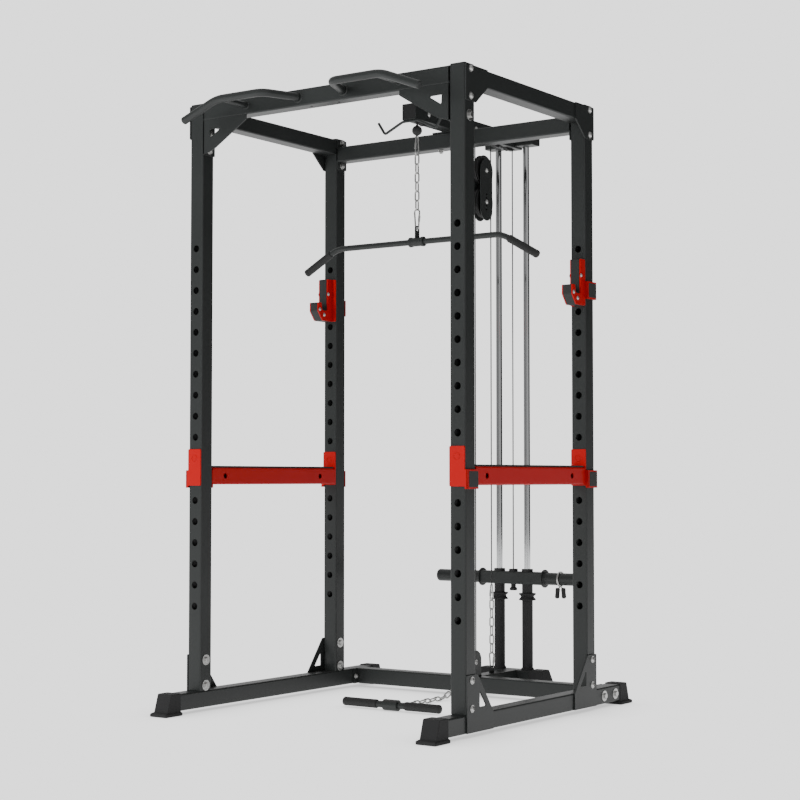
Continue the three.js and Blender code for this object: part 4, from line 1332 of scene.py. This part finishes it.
ballProfile = [
    (0.019 * math.sin(math.pi * k / 16), -0.019 * math.cos(math.pi * k / 16)) for k in range(17)
]
ball = lathe(ballProfile, (0, latY, ballZ), up, 32)
ferrule = lathe(
    [(0, 0.012), (0.005, 0.012), (0.005, 0.0205), (0.0036, 0.022), (0, 0.022)], (0, latY, ballZ), up, 20
)
piece("stop_ball", [ball, ferrule], gripRubber, "lat_bar", [], sharp=45)

stop = {"radius": 0.014, "length": 0.024}
stopRear = lowY - bracket["half"] + 0.002
stopY = stopRear - stop["length"]
stopZ = lowZ - cable["turn"]
clipSlope = 0.62
clipEnd = Vector((0, stopY + clipOverlap, stopZ - 0.002))


def downChain(point, length, angle):
    return point - Vector((0, math.cos(angle), math.sin(angle))) * length


longClip = clipSizes["long"]
clipMiddle = downChain(clipEnd, longClip["length"] / 2, clipSlope)
pastJoint = (linkSize["length"] - linkSize["pitch"]) / 2
joint = downChain(
    clipEnd, longClip["length"] - longClip["wire"] / 2 - clipOverlap - linkSize["wire"] / 2 + pastJoint,
    clipSlope
)
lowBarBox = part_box("low_bar")
barY = lowBarBox[0].y + 0.020
lugEnd = lowBarBox[1].y
restZ = linkSize["width"] / 2
centres = []
for _ in range(int((joint.y - lugEnd) // linkSize["pitch"])):
    angle = math.asin(min(0.55, max(0, joint.z - restZ) / linkSize["pitch"]))
    centres.append(downChain(joint, linkSize["pitch"] / 2, angle))
    joint = downChain(joint, linkSize["pitch"], angle)
lowLinks = linksAlong(centres, len(centres), math.pi / 4)
lowClip = placedClip(longClip, clipMiddle.y, clipMiddle.z, -math.pi / 2 + clipSlope, math.pi / 4)
piece("row_links", [lowLinks, *lowClip], zinc, "low_bar", ["low_chain"], sharp=50)
stopProfile = [
    (0, 0), (stop["radius"] - 0.003, 0), (stop["radius"], 0.003),
    (stop["radius"], stop["length"] - 0.003), (stop["radius"] - 0.003, stop["length"]),
    (0, stop["length"])
]
piece(
    "row_stop", [lathe(stopProfile, (0, stopY, stopZ), rearward)], gripRubber, "low_bar", [],
    sharp=40
)
print("chains made")

# lat bar and low bar

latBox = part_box("lat_bar")
lat = {
    "radius": 0.011, "bendX": 0.371, "tipX": 0.519, "drop": 0.084, "bend": 0.034, "grip": 0.0145,
    "gripStart": 0.034, "gripPast": 0.004, "collar": 0.0185, "collarHalf": 0.033, "lug": 0.024,
    "lugThick": 0.006, "lugHole": 0.0075, "lugEdge": 0.005
}
latZ = postTop - 0.481
latTip = Vector((lat["tipX"], latY, latZ - lat["drop"]))
latBend = Vector((lat["bendX"], latY, latZ))
slope = (latTip - latBend).normalized()
barPath = bentPath(
    [(-lat["tipX"], latY, latTip.z), (-lat["bendX"], latY, latZ), latBend, latTip], lat["bend"], 12
)
piece(
    "lat_tube", [sweep(barPath, lat["radius"], 24)], paint, "lat_bar", ["lat_bar"],
    sharp=40
)


# A moulded grip with a rounded lip at each end and fine rings between.
def gripMesh(start, end, radius, rings=0):
    line = Vector(end) - Vector(start)
    long = line.length
    profile = [
        (0, 0), (radius - 0.004, 0.0002), (radius - 0.0012, 0.0012), (radius, 0.004), (radius, 0.012)
    ]
    for k in range(rings):
        at = 0.018 + (long - 0.036) * k / max(rings - 1, 1)
        profile += [
            (radius - 0.0002, at - 0.0016), (radius - 0.0009, at - 0.0006),
            (radius - 0.0009, at + 0.0006), (radius - 0.0002, at + 0.0016)
        ]
    profile += [
        (radius, long - 0.012), (radius, long - 0.005), (radius - 0.0022, long - 0.0016),
        (radius - 0.006, long), (0, long)
    ]
    return lathe(profile, start, line, 36)


bothSides(
    "lat_grip",
    [gripMesh(latBend + slope * lat["gripStart"], latTip + slope * lat["gripPast"], lat["grip"], 14)],
    gripRubber, "lat_bar", None, 40
)
collarHalf = lat["collarHalf"]
collarProfile = [
    (0, 0), (lat["collar"] - 0.002, 0), (lat["collar"], 0.002), (lat["collar"], 0.010),
    (lat["collar"] - 0.0018, 0.0115), (lat["collar"] - 0.0018, 2 * collarHalf - 0.0115),
    (lat["collar"], 2 * collarHalf - 0.010), (lat["collar"], 2 * collarHalf - 0.002),
    (lat["collar"] - 0.002, 2 * collarHalf), (0, 2 * collarHalf)
]
latCollar = lathe(collarProfile, (-collarHalf, latY, latZ), right, 36)
lugTop = latBox[1].z
holeZ = lugTop - lat["lugEdge"] - lat["lugHole"]
lugLoop = rounded(
    [
        (latY - lat["lug"] / 2, latZ + 0.012, 0.001), (latY + lat["lug"] / 2, latZ + 0.012, 0.001),
        (latY + lat["lug"] / 2, lugTop), (latY - lat["lug"] / 2, lugTop)
    ],
    0.011
)
lug = slab(
    [lugLoop, circle(latY, holeZ, lat["lugHole"], 24)], -lat["lugThick"] / 2, lat["lugThick"] / 2, "x",
    0.0008
)
piece("lat_collar", [latCollar, lug], paint, "lat_bar", [], sharp=36)

row = {
    "radius": 0.012, "grip": 0.016, "half": 0.213, "collar": 0.020, "collarHalf": 0.032,
    "gripStart": 0.062, "lugThick": 0.006, "lugHeight": 0.022, "lugHole": 0.0065
}
rowZ = row["collar"]
rowShaft = rod(
    row["radius"], (-row["gripStart"] - 0.004, barY, rowZ), (row["gripStart"] + 0.004, barY, rowZ)
)
rowCollar = rod(
    row["collar"], (-row["collarHalf"], barY, rowZ), (row["collarHalf"], barY, rowZ), 0.002, 36
)
rowLugLoop = rounded(
    [
        (barY + 0.01, rowZ - row["lugHeight"] / 2, 0.001), (lugEnd, rowZ - row["lugHeight"] / 2),
        (lugEnd, rowZ + row["lugHeight"] / 2), (barY + 0.01, rowZ + row["lugHeight"] / 2, 0.001)
    ],
    0.009
)
rowLug = slab(
    [rowLugLoop, circle(lugEnd - 0.0105, rowZ, row["lugHole"], 24)], -row["lugThick"] / 2,
    row["lugThick"] / 2, "x", 0.0008
)
piece("row_shaft", [rowShaft, rowCollar, rowLug], paint, "low_bar", ["low_bar"], sharp=36)
bothSides(
    "row_grip", [gripMesh((row["gripStart"], barY, rowZ), (row["half"], barY, rowZ), row["grip"], 12)],
    gripRubber, "low_bar", None, 40
)
print("bars made")

# tower

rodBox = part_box("right_guide_rod")
rodX = (rodBox[0].x + rodBox[1].x) / 2
tower = {
    "half": 0.140, "rodRadius": 0.0125, "sleeve": 0.0215, "sleeveTop": 0.352, "bumper": 0.034,
    "waist": 0.026, "bumperHeight": 0.028
}
guideRod = rod(tower["rodRadius"], (rodX, towerY, rodBox[0].z), (rodX, towerY, rodBox[1].z), 0.0008, 40)
bothSides("rod", [guideRod], chrome, "cage", "{side}_guide_rod", 40)
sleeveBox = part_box("right_guide_sleeve")
bore = tower["rodRadius"] + 0.0009
waistZ = tower["sleeveTop"] + tower["bumperHeight"] / 2
sleeveProfile = [
    (bore, sleeveBox[0].z), (tower["sleeve"] + 0.004, sleeveBox[0].z),
    (tower["sleeve"] + 0.004, sleeveBox[0].z + 0.006), (tower["sleeve"], sleeveBox[0].z + 0.009),
    (tower["sleeve"], tower["sleeveTop"]), (tower["bumper"] - 0.001, tower["sleeveTop"]),
    (tower["bumper"], tower["sleeveTop"] + 0.001), (tower["bumper"], tower["sleeveTop"] + 0.004),
    (tower["waist"] + 0.002, waistZ - 0.004), (tower["waist"], waistZ),
    (tower["waist"] + 0.002, waistZ + 0.004),
    (tower["bumper"], sleeveBox[1].z - 0.005), (tower["bumper"], sleeveBox[1].z - 0.001),
    (tower["bumper"] - 0.001, sleeveBox[1].z), (bore, sleeveBox[1].z), (bore, sleeveBox[0].z),
]
bothSides(
    "sleeve", [lathe(sleeveProfile, (rodX, towerY, 0))], rubber, "cage", "{side}_guide_sleeve",
    30
)

footTube = squareTube(
    "y", (-half, half), (baseLow, baseTop - gap), lowerSpan[1] + gap, towerY - half + wall
)
crossTube = squareTube(
    "x", (towerY - half, towerY + half), (baseLow, baseTop - gap), -tower["half"], tower["half"]
)
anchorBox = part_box("tower_base")
eyeTop = anchorBox[1].z
eyeLoop = rounded(
    [
        (anchorY - 0.016, baseTop - 0.001, 0.001), (anchorY + 0.016, baseTop - 0.001, 0.001),
        (anchorY + 0.011, eyeTop), (anchorY - 0.011, eyeTop)
    ],
    0.009
)
eye = slab([eyeLoop, circle(anchorY, eyeTop - 0.012, 0.007, 24)], -0.003, 0.003, "x", 0.0008)
piece("tower_tubes", [footTube, crossTube, eye], paint, "cage", ["tower_base"])
print("tower made")

# carriage

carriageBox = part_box("carriage")
bar = {"half": 0.025, "end": 0.1427, "bushing": 0.0215, "below": 0.035, "above": 0.011}
barLow = carriageBox[0].z + bar["below"]
barHigh = barLow + 2 * bar["half"]
barZ = (barLow + barHigh) / 2
carriageTube = squareTube(
    "x", (towerY - bar["half"], towerY + bar["half"]), (barLow, barHigh), -bar["end"], bar["end"], 0.005
)
bushTop = barHigh + bar["above"]
bushLow = carriageBox[0].z
bushBore = tower["rodRadius"] + 0.001
lowerBush = [
    (bushBore, bushLow), (bar["bushing"] - 0.001, bushLow), (bar["bushing"], bushLow + 0.001),
    (bar["bushing"], barLow), (bushBore, barLow), (bushBore, bushLow)
]
upperBush = [
    (bushBore, barHigh), (bar["bushing"] + 0.001, barHigh), (bar["bushing"] + 0.001, bushTop - 0.001),
    (bar["bushing"], bushTop), (bushBore, bushTop), (bushBore, barHigh)
]
piece("carriage_bar", [carriageTube], paint, "carriage", ["carriage"])
bothSides(
    "bushing", [lathe(lowerBush, (rodX, towerY, 0)), lathe(upperBush, (rodX, towerY, 0))], nylon,
    "carriage", None, 30
)
cableEnd = lathe(
    [
        (0, barHigh), (0.018, barHigh), (0.018, barHigh + 0.008), (0.016, barHigh + 0.010),
        (0, barHigh + 0.010)
    ],
    (0, towerY, 0)
)
hookNeck = rod(0.007, (0, towerY, barLow - 0.026), (0, towerY, barLow + 0.002))
hookDisc = lathe(
    [
        (0, barLow - 0.026), (0.013, barLow - 0.026), (0.015, barLow - 0.024), (0.015, barLow - 0.016),
        (0.010, barLow - 0.013), (0.010, barLow), (0, barLow)
    ],
    (0, towerY, 0)
)
piece("cable_anchor", [cableEnd, hookNeck, hookDisc], nylon, "carriage", [], sharp=36)

horn = {"radius": 0.0245, "flange": 0.036, "flangeThick": 0.006, "length": 0.208}
hornStart = bar["end"] + gap
hornSeat = hornStart + horn["flangeThick"]
hornEnd = hornSeat + horn["length"]
hornProfile = [
    (0, hornStart), (horn["flange"] - 0.001, hornStart), (horn["flange"], hornStart + 0.001),
    (horn["flange"], hornSeat - 0.001), (horn["flange"] - 0.001, hornSeat),
    (horn["radius"] + 0.002, hornSeat), (horn["radius"], hornSeat + 0.002),
    (horn["radius"], hornEnd - 0.016), (horn["radius"] - 0.0004, hornEnd - 0.0155),
    (horn["radius"], hornEnd - 0.015),
    (horn["radius"], hornEnd - 0.005), (horn["radius"] - 0.0015, hornEnd - 0.0015),
    (horn["radius"] - 0.005, hornEnd), (0, hornEnd),
]
bothSides(
    "horn", [lathe(hornProfile, (0, towerY, barZ), right, 48)], paint, "carriage", "{side}_weight_horn",
    30
)

collar = {
    "at": 0.217, "wire": 0.0025, "ring": 0.0259 + 0.0025, "grip": 0.009, "drop": 0.034, "length": 0.042,
    "spread": 0.0098, "splay": 0.004
}


# A sprung ring of two turns of wire round the horn, with a leg down from each end.
def springCoil():
    points = []
    turns = 2.0
    steps = 72
    for k in range(steps + 1):
        t = k / steps
        angle = -math.pi / 2 + 0.18 + (turns * 2 * math.pi - 0.36) * t
        points.append(
            (
                collar["at"] - 0.0028 + 0.0056 * t, towerY + collar["ring"] * math.cos(angle),
                barZ + collar["ring"] * math.sin(angle)
            )
        )
    for way in (-1, 1):
        leg = [
            (collar["at"] + way * 0.005, towerY + way * 0.004, barZ - collar["ring"] - 0.006),
            (
                collar["at"] + way * (collar["spread"] + 0.001), towerY + way * 0.004,
                barZ - collar["drop"] - 0.012
            ),
        ]
        points = leg[::-1] + points if way < 0 else points + leg
    return sweep(points, collar["wire"], 14)


def collarGrip(way):
    top = Vector((collar["at"] + way * collar["spread"], towerY + way * 0.004, barZ - collar["drop"]))
    end = top + Vector((way * collar["splay"] * 0.4, way * collar["splay"], -collar["length"]))
    return gripMesh(top, end, collar["grip"], 4)


bothSides("collar_wire", [springCoil()], zinc, "{side}_collar", "{side}_spring_collar", 60)
bothSides(
    "collar_grips", [collarGrip(-1), collarGrip(1)], gripRubber, "{side}_collar", None, 40
)
print("carriage made")

# hooks and safety bars

wrap = {
    "top": -0.043, "bottom": -0.107, "standOff": 0.0052, "pin": 0.012, "pad": 0.006,
    "padProud": 0.0012
}
hookSize = {
    "width": 0.044, "above": 0.036, "below": 0.132, "back": 0.031, "cradle": 0.038, "lip": 0.022,
    "lipTop": -0.061, "bottom": -0.091, "proud": 0.002, "toeRise": 0.036, "toeBack": 0.029
}
safe = {
    "above": 0.033, "below": 0.099, "top": -0.033, "bottom": -0.095, "strip": 0.006, "stripHalf": 0.025,
    "vent": 0.010, "ventFront": 0.069, "ventRear": 0.099
}
hookZ = post["topHole"] - post["pitch"]
safeZ = post["topHole"] - 10 * post["pitch"]
tabX = outer + wrap["standOff"]


# The bracket round an upright: a front plate with a wing, a tab down the outside and a lip behind.
def wrapMeshes(front, z, above, below):
    y0 = front - gap - plate
    y1 = front + tube + gap
    top, bottom = z + wrap["top"], z + wrap["bottom"]
    tabEnd = tabX + plate
    face = rounded(
        [
            (inner, z - below), (outer, z - below), (outer, bottom, 0.001), (tabEnd, bottom, 0.002),
            (tabEnd, top, 0.002), (outer, top, 0.001), (outer, z + above), (inner, z + above)
        ],
        0.005
    )
    wrapLoop = rounded(
        [
            (tabX, y0, 0.001), (tabEnd, y0, 0.003), (tabEnd, y1 + plate, 0.003),
            (inner, y1 + plate, 0.001), (inner, y1, 0.001), (tabX, y1, 0.001)
        ],
        0.001
    )
    shaft = rod(wrap["pin"], (postX, y0 + 0.001, z), (postX, y1 - wall, z), 0.002)
    return [slab([face], y0, y0 + plate, "y", 0.0009), slab([wrapLoop], bottom, top, "z", 0.0009), shaft]


# The black pad let into the outside of a tab.
def padMesh(front, z):
    y0, y1 = front + 0.006, front + tube + 0.001
    middle = (wrap["top"] + wrap["bottom"]) / 2
    reach = (wrap["top"] - wrap["bottom"]) / 2 - wrap["pad"]
    return slab(
        [rectangle(y0, y1, z + middle - reach, z + middle + reach, 0.004)], tabX + plate - 0.001,
        tabX + plate + wrap["padProud"], "x", 0.0008
    )


hookFace = frontFace + cageDepth - gap - plate


def hookLoop(proud):
    rear = hookFace + 0.0005
    throat = hookFace - hookSize["back"] - proud
    lipIn = throat - hookSize["cradle"] + 2 * proud
    lipOut = lipIn - hookSize["lip"] - proud
    bottom = hookZ + hookSize["bottom"] + proud
    corners = [
        (rear, hookZ + hookSize["above"], 0.001), (throat, hookZ + hookSize["above"], 0.006),
        (throat, bottom, 0.009), (lipIn + 0.004, bottom, 0.011),
        (lipIn, hookZ + hookSize["lipTop"], 0.003), (lipOut, hookZ + hookSize["lipTop"], 0.004),
        (lipOut, hookZ - hookSize["below"] + hookSize["toeRise"], 0.010),
        (lipOut + hookSize["toeBack"], hookZ - hookSize["below"], 0.008),
        (rear, hookZ - hookSize["below"], 0.001),
    ]
    return rounded(corners, 0.003, 7)


linerLoop = [(min(y, hookFace - gap), z) for y, z in hookLoop(hookSize["proud"])]
hookInside = outer - hookSize["width"]
cheeks = [slab([hookLoop(0)], x, x + plate, "x", 0.0009) for x in (hookInside, outer - plate)]
bothSides(
    "hook_frame",
    [*cheeks, *wrapMeshes(frontFace + cageDepth, hookZ, hookSize["above"], hookSize["below"])], redPaint,
    "{side}_hook", "{side}_j_hook", 34
)
bothSides(
    "hook_liner", [slab([linerLoop], hookInside + plate + gap, outer - plate - gap, "x", 0.001)], guard,
    "{side}_hook", "{side}_j_hook_liner", 34
)
bothSides(
    "hook_pad", [padMesh(frontFace + cageDepth, hookZ)], guard, "{side}_hook", None, 34
)

barFront = back(tube + gap + plate - 0.001)
barRear = hookFace + 0.001
safetyTube = squareTube(
    "y", (inner, outer), (safeZ + safe["bottom"], safeZ + safe["top"]), barFront, barRear, 0.006
)
ventStep = (0, barRear - barFront - safe["ventFront"] - safe["ventRear"], 0)
safetyTube = bored(
    safetyTube, 2, (postX, barFront + safe["ventFront"], safeZ + (safe["top"] + safe["bottom"]) / 2),
    ventStep, right, safe["vent"], tube * 1.4, redPaint
)
brackets = wrapMeshes(frontFace, safeZ, safe["above"], safe["below"]) + wrapMeshes(
    frontFace + cageDepth, safeZ, safe["above"], safe["below"]
)
weld = wrap["pin"] + 0.001
for front in (frontFace, frontFace + cageDepth):
    pinEnd = [
        (0, 0.0002), (weld - 0.004, 0.0002), (weld - 0.003, -0.0012), (weld - 0.0015, 0.0011),
        (weld, -0.0006)
    ]
    brackets.append(lathe(pinEnd, (postX, front - gap - plate, safeZ), -rearward, 40))
bothSides("safety_tube", [safetyTube], redPaint, "{side}_safety", "{side}_safety_bar", 34)
bothSides("safety_brackets", brackets, redPaint, "{side}_safety", None, 34)
bothSides(
    "safety_pads", [padMesh(frontFace, safeZ), padMesh(frontFace + cageDepth, safeZ)], guard,
    "{side}_safety", None, 34
)
stripLow = safeZ + safe["top"] + gap
stripLoop = rectangle(
    postX - safe["stripHalf"], postX + safe["stripHalf"], stripLow, stripLow + safe["strip"], 0.003
)
stripMesh = slab([stripLoop], back(tube + gap + plate + 0.005), hookFace - 0.005, "y", 0.0012)
bothSides("safety_guard", [stripMesh], guard, "{side}_safety", "{side}_safety_strip", 34)
print("hooks and safety bars made")

# fasteners

plateX = sideSpan[1]
rightSpots = []
for y in (back(tube / 2), back(cageDepth + tube / 2)):
    for z in (railTop - 0.012, railTop - 0.104, basePlate["top"] - 0.018, basePlate["top"] - 0.109):
        rightSpots.append(((plateX, y, z), right, 1.0))
fasteners("cage_bolts", domeStencil, mirroredSpots(rightSpots), "cage")

wideSpots = [((outer, back(tube / 2), frontTop - 0.168), right, 1.0)]
for y in (back(tube / 2), back(cageDepth + tube / 2)):
    for z in (basePlate["top"] - 0.018, basePlate["top"] - 0.109):
        wideSpots.append(((inner, y, z), -right, 1.0))
for y in (lowerSpan[0] - 0.012, lowerSpan[1] + 0.012):
    wideSpots.append(((outer + gap, y, baseLow + 0.029), right, 1.0))
fasteners("wide_bolts", wideStencil, mirroredSpots(wideSpots), "cage")

innerSpots = []
for z in (railTop - 0.104, frontTop - 0.168):
    innerSpots.append(((beamEnd - plate, back(tube / 2), z), -right, 1.0))
for z in (railTop - 0.012, railTop - 0.104):
    innerSpots.append(((beamEnd - plate, back(cageDepth + tube / 2), z), -right, 1.0))
for y in (lowerSpan[0] - 0.012, lowerSpan[1] + 0.012):
    innerSpots.append(((inner - plate, y, baseLow + 0.029), -right, 0.8))
seatTop = boomLow + 0.0004
for y in (back(cageDepth + tube / 2),):
    innerSpots.append(((0.052, y, rearTop - tube), -up, 1.0))
fasteners("cage_nuts", nutStencil, mirroredSpots(innerSpots), "cage")
fasteners(
    "seat_bolts", domeStencil, mirroredSpots([((0.052, back(cageDepth + tube / 2), seatTop), up, 0.9)]),
    "cage"
)

axleSpots = [((half, y, pulleyZ), right, 0.8) for y in wheelY.values()]
axleSpots.append(((bracketEnd, lowY, lowZ), right, 0.8))
fasteners("axle_bolts", domeStencil, mirroredSpots(axleSpots), "cage")
blockSpots = [((blockEnd, blockY, z), right, 0.8) for z in (upperZ, lowerZ)]
fasteners("block_bolts", domeStencil, mirroredSpots(blockSpots), "floating_block")
hookSpots = [
    ((outer, hookFace - y, hookZ + z), right, 0.62) for y,
    z in ((0.026, -0.024), (0.081, -0.0885), (0.0525, -0.1085))
]
hookSpots += [((hookInside, p[1], p[2]), -right, 0.62) for p, _, _ in hookSpots]
fasteners("right_hook_bolts", domeStencil, hookSpots, "right_hook")
fasteners("left_hook_bolts", domeStencil, mirroredSpots(hookSpots)[len(hookSpots):], "left_hook")
for unseen in stencils:
    bpy.data.objects.remove(unseen)
print("fasteners made")

# floor, light and camera

studio = {"floor": 14.0, "white": 1.9, "bounce": 1.35, "shade": 0.35, "reach": 0.22}


# A white floor that glows as bright as the backdrop to the camera and more dimly to other rays, with a
# painted shadow: ambient occlusion darkens its glow close to what stands on it.
def floorMaterial():
    material, shader, place = blank("floor")
    tree = material.node_tree
    shader.inputs["Roughness"].default_value = 0.6
    seen = Sock(tree, tree.nodes.new("ShaderNodeLightPath").outputs["Is Camera Ray"])
    # painted shadow: the ambient occlusion factor dims the floor's glow near the feet, rails and other parts
    # on it
    near = place.node("ShaderNodeAmbientOcclusion", {"Distance": studio["reach"]}, "AO", samples=12)
    grain = noise(place, 3.0)
    light = near * (1 - studio["shade"]) + studio["shade"] + (grain - 0.5) * 0.01
    level = light * (seen * (studio["white"] - studio["bounce"]) + studio["bounce"])
    glow = place.node("ShaderNodeEmission", {"Color": level, "Strength": 1.0})
    output = next(n for n in tree.nodes if n.type == "OUTPUT_MATERIAL")
    feed(tree, output.inputs["Surface"], glow)
    return material


floorMesh = meshOf([(x, y, -0.0006) for x, y in circle(0, 0, studio["floor"], 96)], [tuple(range(96))])
floorMesh.materials.append(floorMaterial())
floor = bpy.data.objects.new("floor", floorMesh)
bpy.context.scene.collection.objects.link(floor)


# White surroundings: dim towards the right rear, so that the sides of the tubes are darker than their fronts.
def worldLight():
    world = bpy.data.worlds.new("studio")
    world.use_nodes = True
    bpy.context.scene.world = world
    tree = world.node_tree
    place = Sock(tree, tree.nodes.new("ShaderNodeTexCoord").outputs["Generated"])

    def lobe(way, near, far, low, high):
        facing = place.node("ShaderNodeVectorMath", {0: place, 1: way}, "Value", operation="DOT_PRODUCT")
        ends = {"Value": facing, "From Min": near, "From Max": far, "To Min": low, "To Max": high}
        return place.node("ShaderNodeMapRange", ends, interpolation_type="SMOOTHSTEP")

    rear = lobe((0.57, 0.82, 0.0), 0.45, 0.85, 1.0, 0.07)
    front = lobe((-0.5, -0.86, 0.0), 0.2, 0.9, 1.0, 0.5)
    behind = lobe((-0.57, 0.82, 0.0), 0.2, 0.9, 0.55, 0.85)
    seen = Sock(tree, tree.nodes.new("ShaderNodeLightPath").outputs["Is Camera Ray"])
    strength = seen * studio["white"] + (1 - seen) * (rear * front * behind)
    background = tree.nodes["Background"]
    background.inputs["Color"].default_value = (1, 1, 1, 1)
    feed(tree, background.inputs["Strength"], strength)


worldLight()


def softBox(name, place, target, size, power):
    lamp = bpy.data.lights.new(name, "AREA")
    lamp.shape = "RECTANGLE"
    lamp.size, lamp.size_y = size
    lamp.energy = power
    shape = bpy.data.objects.new(name, lamp)
    shape.location = place
    shape.rotation_euler = (Vector(target) - Vector(place)).to_track_quat("-Z", "Y").to_euler()
    shape.visible_glossy = False
    bpy.context.scene.collection.objects.link(shape)


softBox("key", (-1.6, -5.0, 2.2), (0, 0, 0.9), (2.6, 2.6), 290)
softBox("fill", (4.6, -2.2, 2.4), (0, 0, 1.0), (2.0, 2.0), 15)

camera = bpy.data.cameras.new("camera")
camera.sensor_width = 36.0
camera.lens = 79.04
camera.clip_end = 100.0
viewer = bpy.data.objects.new("camera", camera)
yaw = math.radians(34.937)
pitch = math.radians(2.5396)
viewer.location = (3.68456, -5.35883, 0.83994)
ahead = Vector((-math.sin(yaw) * math.cos(pitch), math.cos(yaw) * math.cos(pitch), math.sin(pitch)))
viewer.rotation_euler = ahead.to_track_quat("-Z", "Y").to_euler()
bpy.context.scene.collection.objects.link(viewer)
bpy.context.scene.camera = viewer
print("camera set")
